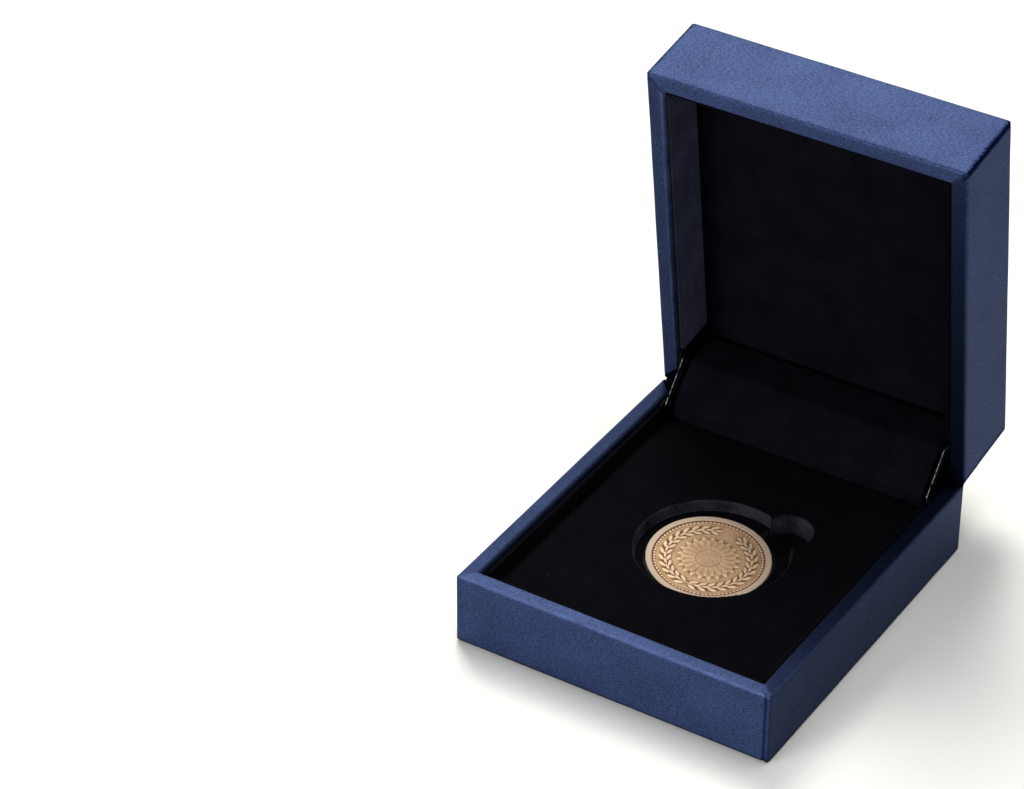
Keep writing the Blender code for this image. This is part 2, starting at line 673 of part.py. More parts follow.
def make_stay(name, sign, steel, hinge):
    """A slotted strip that turns on the base's ear and slides over the rivet in the lid's ear."""
    pivot = make_empty(f"{name}_axis", (0, -STAY_PIVOT_REACH, -STAY_PIVOT_DROP), -OPEN_ANGLE / 2)
    pivot.parent = hinge
    inner, outer = sorted((sign * STAY_INNER_X, sign * STAY_OUTER_X))
    outline = rounded_bar(0, STAY_LONG, STAY_WIDTH / 2)
    obj = prism(name, outline, "X", inner, outer, steel, pivot)
    slot = rounded_bar(STAY_SHORT, STAY_LONG, STAY_SLOT / 2)
    cut(obj, prism(f"{name}_slot_cutter", slot, "X", inner - CUT_OVERRUN, outer + CUT_OVERRUN))
    cut(obj, round_cutter(f"{name}_hole_cutter", "X", HALF_WIDTH, RIVET_RADIUS + RIVET_RUNNING))
    return obj


def thickened(path, thickness):
    """A closed outline of even thickness on both sides of a path in (y, z)."""
    left, right = [], []
    for index, (y, z) in enumerate(path):
        before = path[max(index - 1, 0)]
        after = path[min(index + 1, len(path) - 1)]
        dy, dz = after[0] - before[0], after[1] - before[1]
        length = math.hypot(dy, dz)
        normal = (-dz / length, dy / length)
        left.append((y + normal[0] * thickness / 2, z + normal[1] * thickness / 2))
        right.append((y - normal[0] * thickness / 2, z - normal[1] * thickness / 2))
    return left + list(reversed(right))


def opened(point, angle=OPEN_ANGLE):
    """Where a point of the closed lid, as (y, z) from the hinge line, lies when the lid stands open."""
    y, z = point
    return (y * math.cos(angle) + z * math.sin(angle), -y * math.sin(angle) + z * math.cos(angle))


def curve_through(start, middle, end, steps):
    """Points on the parabola from start to end that passes through middle halfway."""
    control = [2 * m - (a + b) / 2 for a, m, b in zip(start, middle, end)]
    points = []
    for i in range(steps + 1):
        t = i / steps
        weights = ((1 - t) ** 2, 2 * t * (1 - t), t ** 2)
        points.append(tuple(sum(w * p[k] for w, p in zip(weights, (start, control, end))) for k in (0, 1)))
    return points


def make_hinge_flap(velvet, hinge):
    """The velvet that hides the back rims: from behind the insert, over the gap and up into the lid."""
    low = (-FLAP_MIDDLE, -FLAP_STRAIGHT_DROP)
    high = opened((-FLAP_MIDDLE, FLAP_STRAIGHT_DROP))
    half_open = OPEN_ANGLE / 2
    middle = (-FLAP_BULGE * math.cos(half_open), FLAP_BULGE * math.sin(half_open))
    path = [(-FLAP_MIDDLE, -FLAP_BASE_DROP)] + curve_through(low, middle, high, FLAP_STEPS)
    path += [opened((-FLAP_MIDDLE, FLAP_LID_RISE))]
    outline = thickened(path, FLAP_VELVET)
    obj = prism("hinge_flap", outline, "X", -FLAP_HALF_WIDTH, FLAP_HALF_WIDTH, velvet, hinge)
    return smooth(obj)


def make_hinge_strip(leatherette, hinge):
    """The leatherette that joins the two halves along the back, folded into the corner when open."""
    away = CLEARANCE + STRIP / 2
    low, high = (away, -STRIP_BEND), opened((away, STRIP_BEND))
    corner_height = -away * math.tan(OPEN_ANGLE / 2)
    middle = tuple((a + 2 * c + b) / 4 for a, c, b in zip(low, (away, corner_height), high))
    path = [(away, -STRIP_REACH)] + curve_through(low, middle, high, STRIP_STEPS)
    path += [opened((away, STRIP_REACH))]
    half = HALF_WIDTH - STRIP_SIDE_INSET
    return smooth(prism("hinge_strip", thickened(path, STRIP), "X", -half, half, leatherette, hinge))


def make_base(look, hinge):
    wrapped_ring("base_cover", base_cover_profile(), 0, 0, look["leatherette"])
    top = BASE_HEIGHT - BOARD_OUTER
    walls = wall_boards("base", 0, BOARD_FOOT, top, look["board"])
    inside_x, inside_y = HALF_WIDTH - BOARD_INNER - CLEARANCE, HALF_DEPTH - BOARD_INNER - CLEARANCE
    low, high = (-inside_x, -inside_y, BOARD_FOOT), (inside_x, inside_y, FLOOR_TOP)
    block("base_floor_board", low, high, look["board"])
    paper_x = HALF_WIDTH - TURN_UNDER - CLEARANCE
    paper_y = HALF_DEPTH - TURN_UNDER - CLEARANCE
    block("base_bottom_paper", (-paper_x, -paper_y, 0), (paper_x, paper_y, BOTTOM_PAPER), look["paper"])
    velvet_liners("base", 0, LINER_FOOT, BASE_HEIGHT - LINER_DROP, look["velvet"])
    make_insert(look["velvet"], look["foam"])
    make_bracket("base", -1, look["steel"], hinge)
    walls["wall_back"].data.transform(Matrix.Translation((0, -HINGE_Y, -HINGE_Z)))
    walls["wall_back"].parent = hinge
    pin_bracket_to_wall("base", -1, walls["wall_back"], look["pin"], hinge)


def make_lid(look, lid):
    wrapped_ring("lid_cover", lid_cover_profile(), -HALF_DEPTH, LID_RIM, look["leatherette"], lid)
    low, high = LID_RIM + BOARD_OUTER, LID_RIM + LID_HEIGHT - BOARD_OUTER
    walls = wall_boards("lid", -HALF_DEPTH, low, high, look["board"], lid)
    inside_x, inside_y = HALF_WIDTH - BOARD_INNER - CLEARANCE, HALF_DEPTH - BOARD_INNER - CLEARANCE
    top = LID_RIM + LID_BOARD_TOP
    near = (-inside_x, -HALF_DEPTH - inside_y, top - LID_BOARD)
    block("lid_top_board", near, (inside_x, -HALF_DEPTH + inside_y, top), look["board"], lid)
    lining = LID_RIM + LINING_DEPTH
    near = (-inside_x, -HALF_DEPTH - inside_y, lining)
    far = (inside_x, -HALF_DEPTH + inside_y, lining + LINING_PANEL)
    block("lid_lining_panel", near, far, look["velvet"], lid, LINER_EDGE)
    velvet_liners("lid", -HALF_DEPTH, LID_RIM + LINER_DROP, lining - CLEARANCE, look["velvet"], lid)
    make_cushion(look["leatherette"], look["foam"], look["board"], lid)
    make_bracket("lid", 1, look["steel"], lid)
    pin_bracket_to_wall("lid", 1, walls["wall_back"], look["pin"], lid)


def make_stays(look, hinge, lid):
    for sign, place in ((-1, "left"), (1, "right")):
        make_stay(f"stay_{place}", sign, look["steel"], hinge)
        make_ear_rivet(f"stay_pivot_rivet_{place}", sign, -1, look["pin"], hinge)
        make_ear_rivet(f"stay_guide_rivet_{place}", sign, 1, look["pin"], lid)


def main():
    clear_scene()
    look = {
        "leatherette": make_material("navy leatherette", (0.045, 0.075, 0.19), 0.42),
        "velvet": make_material("black velvet", (0.004, 0.004, 0.006), 0.9),
        "board": make_material("black faced board", (0.018, 0.018, 0.02), 0.85),
        "paper": make_material("black paper", (0.012, 0.012, 0.014), 0.8),
        "foam": make_material("grey foam", (0.12, 0.12, 0.12), 0.95),
        "steel": make_material("black steel", (0.02, 0.02, 0.022), 0.4, 1.0),
        "pin": make_material("dark steel pin", (0.08, 0.08, 0.085), 0.35, 1.0),
        "coin": make_material("golden bronze", (0.58, 0.38, 0.21), 0.35, 1.0),
    }
    hinge = make_empty("hinge_line", (0, HINGE_Y, HINGE_Z), 0)
    lid = make_empty("lid_axis", (0, HINGE_Y, HINGE_Z), -OPEN_ANGLE)
    make_base(look, hinge)
    make_lid(look, lid)
    make_stays(look, hinge, lid)
    make_hinge_flap(look["velvet"], hinge)
    make_hinge_strip(look["leatherette"], hinge)
    make_coin(look["coin"])


main()
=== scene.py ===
import bpy
import json
import math
import numpy as np
from mathutils import Matrix, Vector, noise


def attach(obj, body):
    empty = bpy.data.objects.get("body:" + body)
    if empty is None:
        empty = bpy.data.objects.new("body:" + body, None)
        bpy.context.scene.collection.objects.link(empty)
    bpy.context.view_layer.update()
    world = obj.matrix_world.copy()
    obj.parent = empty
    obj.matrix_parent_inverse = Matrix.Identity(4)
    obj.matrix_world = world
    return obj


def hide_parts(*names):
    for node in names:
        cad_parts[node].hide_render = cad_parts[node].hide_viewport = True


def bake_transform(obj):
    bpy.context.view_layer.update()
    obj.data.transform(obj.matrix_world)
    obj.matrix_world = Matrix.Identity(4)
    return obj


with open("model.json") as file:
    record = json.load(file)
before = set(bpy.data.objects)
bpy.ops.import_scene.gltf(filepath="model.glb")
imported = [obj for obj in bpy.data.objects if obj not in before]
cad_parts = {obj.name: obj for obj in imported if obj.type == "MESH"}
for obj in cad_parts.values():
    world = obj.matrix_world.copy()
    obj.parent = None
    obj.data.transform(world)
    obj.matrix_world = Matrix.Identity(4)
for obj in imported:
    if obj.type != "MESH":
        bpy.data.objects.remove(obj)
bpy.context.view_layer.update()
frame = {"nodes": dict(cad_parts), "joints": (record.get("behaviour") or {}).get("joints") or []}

mm = 0.001
joints = {joint["name"]: joint for joint in frame["joints"]}
hingeLine = np.array(joints["lid_hinge"]["pos_m"]) / mm
openAngle = math.radians(joints["lid_hinge"]["range_deg"][1])


# Everything below is drawn in millimetres in the CAD's frame. The lid is drawn closed, then opened.
def cadPoints(node):
    return np.array([v.co for v in frame["nodes"][node].data.vertices]) / mm


def turnLid(points, angle):
    local = np.asarray(points, float) - hingeLine
    turned = local.copy()
    turned[:, 1] = local[:, 1] * math.cos(angle) + local[:, 2] * math.sin(angle)
    turned[:, 2] = -local[:, 1] * math.sin(angle) + local[:, 2] * math.cos(angle)
    return turned + hingeLine


def openLid(points):
    return turnLid(points, openAngle)


def closedBox(node):
    points = turnLid(cadPoints(node), -openAngle)
    return points.min(0), points.max(0)


def cadBoxOf(node):
    points = cadPoints(node)
    return points.min(0), points.max(0)


def arcPoints(centre, radius, start, end, steps):
    angles = np.radians(np.linspace(start, end, steps + 1))
    return [(centre[0] + radius * math.cos(a), centre[1] + radius * math.sin(a)) for a in angles]


def ripple(points, size, seed):
    # smooth noise between -1 and 1 at each point, with waves about that many millimetres long
    offset = Vector((seed, seed * 1.7, -seed))
    return np.array([noise.noise(Vector(p) / size + offset) for p in points])


def addObject(name, data):
    made = bpy.data.objects.new(name, data)
    bpy.context.scene.collection.objects.link(made)
    return made


def makePiece(name, points, faces, finish, body, nodes, uv=None, period=None, ride=True,
              marks=None):
    # points are in millimetres; uv and marks hold an entry for each point, and period is a ring's length
    mesh = bpy.data.meshes.new(name)
    mesh.from_pydata((np.asarray(points, float) * mm).tolist(), [], faces)
    mesh.validate()
    mesh.materials.append(finish)
    mesh.polygons.foreach_set("use_smooth", [True] * len(mesh.polygons))
    if uv is not None:
        corner = np.zeros(len(mesh.loops), int)
        mesh.loops.foreach_get("vertex_index", corner)
        flat = np.asarray(uv, float)[corner]
        if period:
            # the last column of a ring closes on the first, so its corners count on past the seam
            start = 0
            for polygon in mesh.polygons:
                part = flat[start:start + polygon.loop_total, 0]
                if part.max() - part.min() > period / 2:
                    part[part < period / 2] += period
                start += polygon.loop_total
        mesh.uv_layers.new(name="cut").data.foreach_set("uv", flat.ravel())
    for attribute, values in (marks or {}).items():
        layer = mesh.attributes.new(attribute, "FLOAT", "POINT")
        layer.data.foreach_set("value", np.asarray(values, np.float32))
    piece = addObject(name, mesh)
    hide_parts(*nodes)
    if ride:
        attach(piece, body)
    return piece


def gridFaces(rows, columns, closeRows=False, closeColumns=False):
    faces = []
    for i in range(rows if closeRows else rows - 1):
        for j in range(columns if closeColumns else columns - 1):
            a, b = i * columns + j, i * columns + (j + 1) % columns
            c, d = ((i + 1) % rows) * columns + (j + 1) % columns, ((i + 1) % rows) * columns + j
            faces.append((a, b, c, d))
    return faces


print("frame and helpers ready")


# Materials. Colours are sRGB hex, turned to the linear values that shaders take.
def linear(code):
    values = [int(code[i:i + 2], 16) / 255 for i in (1, 3, 5)]
    return tuple(v / 12.92 if v <= 0.04045 else ((v + 0.055) / 1.055) ** 2.4 for v in values) + (1.0,)


def setInputs(tree, node, inputs):
    # each input takes a plain value or another node's output
    for key, value in inputs.items():
        if isinstance(value, bpy.types.NodeSocket):
            tree.links.new(value, node.inputs[key])
        else:
            node.inputs[key].default_value = value


def addNode(tree, kind, inputs=None, output=0, **settings):
    # one node with its settings and links; gives back one of its outputs
    node = tree.nodes.new("ShaderNode" + kind)
    for key, value in settings.items():
        setattr(node, key, value)
    setInputs(tree, node, inputs or {})
    return node.outputs[output]


def newMaterial(name, colour, roughness, metallic=0.0, inputs=None):
    material = bpy.data.materials.new(name)
    material.use_nodes = True
    material.diffuse_color = linear(colour)
    shader = material.node_tree.nodes["Principled BSDF"]
    setInputs(material.node_tree, shader, {
        "Base Color": linear(colour), "Roughness": roughness, "Metallic": metallic, **(inputs or {})})
    return material, material.node_tree, shader


leatherette = {
    # PU on cloth, rolled with a fine brushed grain over pearl pigment: satin, paler where it catches light
    "deep": "#131B34",
    "pearl": "#38466E",
    "fold": "#5E70A2",      # paler where worn over the base's outer fold, with painted highlight there and on the lid's turned-in left rim
    "seam": "#0C183C",      # cut edge of the cloth beside a seam, darkened further with painted shade in the pressed seam
    "paintedShade": "#04070F",    # painted shade: near black in mitres, along the hinge, on the right rim and at the foot
    # what glances off at a low angle: from the open cloth, from its cut edge with painted seam shade, and
    # from the painted shade
    "grazing": (0.60, 0.64, 0.72, 1.0),
    "besideSeam": (0.03, 0.07, 0.25, 1.0),
    "sunken": (0.05, 0.05, 0.08, 1.0),
    "roughness": 0.46,
    "rougher": 0.08,        # in the grain's hollows
    "smoother": 0.06,       # on its ridges
    "metallic": 0.75,
    "shine": 0.22,          # specular level of the clear top coat
    "brushed": 0.85,        # how far the grain stretches reflections across itself
    "grainAcross": 0.17,    # mm between grain lines; real ones are near 0.1, drawn coarser to show
    "grainAlong": 0.75,     # mm
    "grainDepth": 0.04,     # mm
    "pebbles": 2.6,         # per mm
    "pebbleShare": 0.4,
    "cloudSize": 9.0,       # mm
    "cloudShare": 0.12,
    "teeth": 0.5,           # mm between the teeth of a ragged cut
    "teethReach": 9.0,      # how far they shift the seam mark
    "cutFrom": (4.1, 4.9),  # where on the shifted mark the dark edge starts, and is full
}


def makeLeatherette():
    values = leatherette
    material, tree, shader = newMaterial(
        "brushed pearl leatherette", values["pearl"], values["roughness"], values["metallic"],
        {"Anisotropic": values["brushed"], "Anisotropic Rotation": 0.25})
    cut = addNode(tree, "UVMap", uv_map="cut")
    stretch = addNode(tree, "Mapping", {
        "Vector": cut, "Scale": (1 / values["grainAlong"], 1 / values["grainAcross"], 1)})
    strands, pebble, clouds = (addNode(tree, "TexNoise", {
        "Vector": vector, "Scale": scale, "Detail": detail, "Roughness": rough, "Distortion": bend},
        noise_dimensions="2D") for vector, scale, detail, rough, bend in (
            (stretch, 1.0, 2.0, 0.6, 0.5),
            (cut, values["pebbles"], 3.0, 0.65, 0.0),
            (cut, 1 / values["cloudSize"], 2.0, 0.5, 0.0)))
    grain = addNode(tree, "Mix", {0: values["pebbleShare"], 2: strands, 3: pebble}, data_type="FLOAT")
    mixed = addNode(tree, "Math", {0: clouds, 1: values["cloudShare"], 2: grain}, operation="MULTIPLY_ADD")
    tone = addNode(tree, "MapRange", {"Value": mixed, "From Min": 0.38, "From Max": 0.72})
    # wear with painted highlight, the seam mark, the cut edge beside a seam, and painted shade
    wornAndLit, fromSeam, beside, sunk = (addNode(tree, "Attribute", output="Fac", attribute_name=name)
                                    for name in ("wearAndHighlight", "seam", "beside", "paintedShade"))
    # the cloth is cut by hand beside a seam, so the dark edge starts on a ragged line
    teeth = addNode(tree, "Mapping", {"Vector": cut, "Scale": (0.25, 1 / values["teeth"], 1)})
    frayed = addNode(tree, "TexNoise", {"Vector": teeth, "Scale": 1.0, "Detail": 1.0},
                     noise_dimensions="2D")
    ragged = addNode(tree, "Math", {0: frayed, 1: values["teethReach"], 2: fromSeam},
                     operation="MULTIPLY_ADD")
    start, full = values["cutFrom"]
    begun = addNode(tree, "MapRange", {"Value": ragged, "From Min": start, "From Max": full})
    seamed = addNode(tree, "Math", {0: begun, 1: beside}, operation="MULTIPLY")
    # no shine of the top coat where the painted seam shade and the painted shade lie
    hidden = addNode(tree, "Math", {0: seamed, 1: sunk}, operation="MAXIMUM")
    colour, glance = linear(values["deep"]), values["grazing"]
    for share, over in ((tone, "pearl"), (wornAndLit, "fold"), (seamed, "seam"), (sunk, "paintedShade")):
        colour = addNode(tree, "Mix", {0: share, 6: colour, 7: linear(values[over])}, 2, data_type="RGBA")
    for share, over in ((seamed, "besideSeam"), (sunk, "sunken")):
        glance = addNode(tree, "Mix", {0: share, 6: glance, 7: values[over]}, 2, data_type="RGBA")
    setInputs(tree, shader, {
        "Base Color": colour,
        "Tangent": addNode(tree, "Tangent", direction_type="UV_MAP", uv_map="cut"),
        "Specular Tint": glance,
        "Specular IOR Level": addNode(tree, "MapRange", {
            "Value": hidden, "To Min": values["shine"], "To Max": 0.0}),
        "Roughness": addNode(tree, "MapRange", {
            "Value": grain, "From Min": 0.3, "From Max": 0.7,
            "To Min": values["roughness"] + values["rougher"],
            "To Max": values["roughness"] - values["smoother"]}),
        "Normal": addNode(tree, "Bump", {
            "Height": grain, "Distance": values["grainDepth"] * mm, "Strength": 1.0})})
    return material


velvet = {
    # cotton velvet, black dyed, short cut pile: swallows light, and only its tips catch some
    "ground": "#040408",
    "tips": "#0A090E",
    "brushed": "#3A3A42",   # where the pile stands on edge on a bend and shows its sides, with painted sheen there
    "roughness": 0.95,
    "sheen": 0.012,
    "pile": 0.16,           # mm between tufts; drawn coarser than the real 0.08 so that it shows
    "pileDepth": 0.05,      # mm
    "laySize": 7.0,         # mm between places where the pile lies another way
    "layShare": 0.8,
    "lint": "#6E7076",
    "lintEvery": 9.0,       # mm between specks of lint
    "lintSize": 0.012,      # share of that distance
    "lintShare": 0.35,      # share of the places that hold one
}


def makeVelvet(name="black cotton velvet", ground=velvet["ground"], tips=velvet["tips"]):
    values = velvet
    material, tree, shader = newMaterial(name, ground, values["roughness"], 0.0, {
        "Sheen Weight": values["sheen"], "Sheen Roughness": 0.35, "Specular IOR Level": 0.03})
    place = addNode(tree, "TexCoord", output="Object")
    tufts = addNode(tree, "TexNoise", {
        "Vector": place, "Scale": 1 / (values["pile"] * mm), "Detail": 2.0, "Roughness": 0.6})
    lay = addNode(tree, "TexNoise", {
        "Vector": place, "Scale": 1 / (values["laySize"] * mm), "Detail": 3.0, "Roughness": 0.6})
    mixed = addNode(tree, "Math", {0: lay, 1: values["layShare"], 2: tufts}, operation="MULTIPLY_ADD")
    tone = addNode(tree, "MapRange", {"Value": mixed, "From Min": 0.7, "From Max": 1.15})
    colour = addNode(tree, "Mix", {0: tone, 6: linear(ground), 7: linear(tips)}, 2, data_type="RGBA")
    # on steep bends the velvet is drawn paler: the pile's sides, with painted sheen
    onEdge = addNode(tree, "Attribute", output="Fac", attribute_name="nap")
    sidesAndSheen = addNode(tree, "Math", {0: onEdge, 1: tone}, operation="MULTIPLY")
    turned = addNode(tree, "Mix", {0: sidesAndSheen, 6: colour, 7: linear(values["brushed"])}, 2,
                     data_type="RGBA")
    cells = addNode(tree, "TexVoronoi", {
        "Vector": place, "Scale": 1 / (values["lintEvery"] * mm)}).node.outputs
    near = addNode(tree, "Math", {0: cells["Distance"], 1: values["lintSize"]}, operation="LESS_THAN")
    chance = addNode(tree, "SeparateColor", {"Color": cells["Color"]})
    held = addNode(tree, "Math", {0: chance, 1: values["lintShare"]}, operation="LESS_THAN")
    speck = addNode(tree, "Math", {0: near, 1: held}, operation="MULTIPLY")
    dusty = addNode(tree, "Mix", {0: speck, 6: turned, 7: linear(values["lint"])}, 2, data_type="RGBA")
    setInputs(tree, shader, {
        "Base Color": dusty,
        "Normal": addNode(tree, "Bump", {
            "Height": tufts, "Distance": values["pileDepth"] * mm, "Strength": 1.0})})
    return material


def makeSteel(name, colour, roughness, metallic, specular, size, detail, rolled, low, high):
    # a grain of some size in mm varies the roughness between low and high
    material, tree, shader = newMaterial(name, colour, roughness, metallic,
                                         {"Specular IOR Level": specular})
    place = addNode(tree, "TexCoord", output="Object")
    grain = addNode(tree, "TexNoise", {
        "Vector": place, "Scale": 1 / (size * mm), "Detail": detail, "Roughness": rolled})
    setInputs(tree, shader, {
        "Roughness": addNode(tree, "MapRange", {"Value": grain, "To Min": low, "To Max": high})})
    return material


shearedEdge = {
    # mm from the middle of the case: the punch polishes this part of a strip's edge and tears the rest
    "polished": (31.78, 31.92),
    "bright": "#8C8C90",
    "torn": "#0C0C0E",
    "chipSize": 2.0,        # mm
}


def makeShearedSteel():
    values = shearedEdge
    material, tree, shader = newMaterial("sheared steel edge", values["bright"], 0.45, 1.0)
    place = addNode(tree, "TexCoord", output="Object")
    across = addNode(tree, "SeparateXYZ", {"Vector": place})
    away = addNode(tree, "Math", {0: across}, operation="ABSOLUTE")
    low, high = values["polished"]
    band = addNode(tree, "Math", {0: away, 1: (low + high) / 2 * mm, 2: (high - low) / 2 * mm},
                   operation="COMPARE")
    chips = addNode(tree, "TexNoise", {
        "Vector": place, "Scale": 1 / (values["chipSize"] * mm), "Detail": 3.0, "Roughness": 0.6})
    kept = addNode(tree, "MapRange", {"Value": chips, "From Min": 0.42, "From Max": 0.56})
    shown = addNode(tree, "Math", {0: band, 1: kept}, operation="MULTIPLY")
    setInputs(tree, shader, {
        "Base Color": addNode(tree, "Mix", {
            0: shown, 6: linear(values["torn"]), 7: linear(values["bright"])}, 2, data_type="RGBA")})
    return material


def makeBlackPaper():
    # lining paper, calendered: matt black with a faint fibre
    material, tree, shader = newMaterial("black lining paper", "#101013", 0.85, 0.0,
                                         {"Specular IOR Level": 0.3})
    place = addNode(tree, "TexCoord", output="Object")
    fibre = addNode(tree, "TexNoise", {
        "Vector": place, "Scale": 1 / (0.35 * mm), "Detail": 5.0, "Roughness": 0.7})
    setInputs(tree, shader, {
        "Base Color": addNode(tree, "Mix", {0: fibre, 6: linear("#0B0B0E"), 7: linear("#1B1B20")}, 2,
                              data_type="RGBA"),
        "Normal": addNode(tree, "Bump", {"Height": fibre, "Distance": 0.03 * mm, "Strength": 1.0})})
    return material


coinMetal = {
    # coinage bronze, struck and toned: satin on the high parts, browner where dies left it low
    "high": "#D6BFA6",
    "field": "#C4A584",
    "low": "#82604A",
    "rim": "#D2BFAF",       # rubbed pale by handling
    "roughness": 0.62,
    "rougher": 0.15,        # where it is toned
    "rimRoughness": 0.80,
    "tarnishSize": 2.5,     # mm
    "tarnishShare": 0.35,
    "grainSize": 0.12,      # mm
    "grainDepth": 0.008,    # mm
}


def makeCoinBronze():
    values = coinMetal
    material, tree, shader = newMaterial("struck and toned bronze", values["field"],
                                         values["roughness"], 1.0)
    hollow = addNode(tree, "Attribute", output="Fac", attribute_name="hollow")
    place = addNode(tree, "TexCoord", output="Object")
    tarnish = addNode(tree, "TexNoise", {
        "Vector": place, "Scale": 1 / (values["tarnishSize"] * mm), "Detail": 5.0, "Roughness": 0.65})
    spread = addNode(tree, "Math", {0: tarnish, 1: values["tarnishShare"], 2: hollow},
                     operation="MULTIPLY_ADD")
    ramp = addNode(tree, "ValToRGB", {"Fac": spread})
    stops = ramp.node.color_ramp.elements
    stops[0].position, stops[0].color = 0.38, linear(values["high"])
    stops[1].position, stops[1].color = 1.0, linear(values["low"])
    stops.new(0.66).color = linear(values["field"])
    onRim = addNode(tree, "Attribute", output="Fac", attribute_name="rim")
    toned = addNode(tree, "MapRange", {
        "Value": spread, "From Min": 0.4, "From Max": 1.0, "To Min": values["roughness"],
        "To Max": values["roughness"] + values["rougher"]})
    fine = addNode(tree, "TexNoise", {
        "Vector": place, "Scale": 1 / (values["grainSize"] * mm), "Detail": 2.0})
    setInputs(tree, shader, {
        "Base Color": addNode(tree, "Mix", {0: onRim, 6: ramp, 7: linear(values["rim"])}, 2,
                              data_type="RGBA"),
        "Roughness": addNode(tree, "Mix", {0: onRim, 2: toned, 3: values["rimRoughness"]},
                             data_type="FLOAT"),
        "Normal": addNode(tree, "Bump", {
            "Height": fine, "Distance": values["grainDepth"] * mm, "Strength": 1.0})})
    return material


pearlLeatherette = makeLeatherette()
blackVelvet = makeVelvet()
# lighter copies of the black velvet: painted light on the lid's left liner, paler on its face than on its
# edges
paintedLitVelvet = makeVelvet("black cotton velvet, painted light", "#33364A", "#4C5068")
paintedLitEdgeVelvet = makeVelvet("black cotton velvet, painted light on an edge", "#1C1E28", "#2C2E3C")
# a lighter copy of the black velvet, for the lid's lining and the flap
liningVelvet = makeVelvet("black cotton velvet, a lighter copy", "#08080E", "#14131C")
# sheet steel, stamped and blackened by dipping: dull black with a faint rolled texture
blackSteel = makeSteel("blackened stamped steel", "#040405", 0.65, 0.0, 0.06, 0.5, 4.0, 0.6, 0.55, 0.75)
shearedSteel = makeShearedSteel()
# mild steel wire, headed and tumbled: mid grey with fine scratches
pinSteel = makeSteel("tumbled steel pin", "#6E6E72", 0.35, 1.0, 0.5, 0.2, 5.0, 0.7, 0.25, 0.45)
blackPaper = makeBlackPaper()
coinBronze = makeCoinBronze()
print("materials ready")


# The leatherette wrap is a closed profile led round four walls.
wrap = {
    "skin": 0.6,
    "rimWidth": 3.7,
    "cornerRadius": 0.45,
    "innerCorner": 0.3,
    "outerRim": 0.75,
    "hingeRim": 0.35,         # mm, the outer rim's radius along the hinge, where the halves nearly touch
    "innerRim": 0.9,
    "lidInnerRim": 0.45,
    "footRadius": 0.3,
    "frameOuter": 1.1,        # mm, the raised frame round the cushion
    "frameInner": 1.0,
    "leastBend": 0.05,        # mm, how tightly the cloth's inner side can bend
    "turnIn": 4.5,
    "turnUnder": 5.0,
    "arcSteps": 7,
    "glueArcSteps": 3,
    "wallStep": 0.35,         # mm between points up a wall
    "runStep": 1.4,           # mm between points along a wall
    "outerFace": 0.9,         # mm from the outside that count as the outer face
    "waviness": 0.05,
    "waveLengths": (13, 7),   # mm along a wall and up it
    "waveFade": 6,            # mm from a corner over which the walls start to wave
    "patchLength": 2.3,       # mm between patches of the wear and painted highlight
    "wornLitFold": (0.3, 0.25),  # mm from the outside to the middle of the worn line with painted highlight, and its half width
    # mm in from the outside where the painted highlight on the turned-in rim starts, and where it is full
    "insideHighlight": (2.9, 3.9),
    "mitreSteps": (1.1, 1.6),  # how wide a mitre is pressed in, and shaded
    # Seams in mm round the corner from its middle: the base's front is wrapped last, and the lid's sides.
    # The corners run back right, back left, front left, front right, with how far each one's seam shows.
    "seams": {
        "base": {"onSides": 0, "band": (0.78, 1.12), "soft": 0.18, "jag": 0.08, "depth": 0.10,
                 "shade": 0.7, "corners": (0.5, 0.5, 0.1, 1.0), "mitreDepth": 0.05, "mitreShade": 0.1,
                 "foldWearAndHighlight": 0.4, "innerHighlight": 0.0, "footShade": 0.85, "rimShade": (0.05, 0.7)},
        "lid": {"onSides": 1, "band": (-0.38, 0.9), "soft": 0.3, "jag": 0.26, "depth": 0.05,
                "shade": 0.95, "corners": (0.5, 0.5, 0.7, 1.0), "mitreDepth": 0.16, "mitreShade": 0.7,
                "foldWearAndHighlight": 0.0, "innerHighlight": 1.0, "footShade": 0.0, "rimShade": (0.35, 0.8)},
    },
    "farFromSeam": 9.0,       # the seam mark where no seam is near
    "overFold": 0.1,          # mm from the outside that lie past the rim's outer face
    "hingeShade": 1.0,
    "hingeReach": 7,          # mm along the hinge wall that lie in the dark at its ends
    "footFold": (0.45, 0.33),  # mm in from the outside and up from the foot that are shaded
}
cornerSteps = 8
nearCorner = [0.10, 0.2, 0.3, 0.4, 0.50, 0.58, 0.66, 0.75, 0.86, 1.0, 1.2, 1.5, 2.0, 2.7]


def wallLoop(halfX, halfY, radius, counts):
    # points round a rounded rectangle, with close spacing beside its corners, and where each one lies
    points, zones = [], []
    for quarter, (signX, signY) in enumerate(((1, 1), (-1, 1), (-1, -1), (1, -1))):
        centre = np.array([signX * (halfX - radius), signY * (halfY - radius)])
        for step in range(cornerSteps + 1):
            angle = math.radians(90 * (quarter + step / cornerSteps))
            out = np.array([math.cos(angle), math.sin(angle)])
            points.append(centre + out * radius)
            zones.append(("corner", quarter, step - cornerSteps / 2))
        along = np.array([-out[1], out[0]])
        length = 2 * ((halfX if quarter % 2 == 0 else halfY) - radius)
        start = points[-1]
        inner = length - 2 * nearCorner[-1]
        offsets = nearCorner + [nearCorner[-1] + inner * k / counts[quarter % 2]
                                for k in range(1, counts[quarter % 2])]
        offsets += [length - d for d in reversed(nearCorner)]
        for offset in offsets:
            points.append(start + along * offset)
            zones.append(("wall", quarter, offset if offset < length / 2 else offset - length))
    return np.array(points), zones


def eased(share):
    return share * share * (3 - 2 * share)


def smoothStep(value, low, high):
    return eased(min(1.0, max(0.0, (value - low) / (high - low))))


def hingeShare(zone):
    # 1 along the hinge wall, and running out round the corners at its ends
    kind, quarter, place = zone
    if kind == "wall":
        return float(quarter == 0)
    return {0: place / cornerSteps + 0.5, 1: 0.5 - place / cornerSteps}.get(quarter, 0.0)


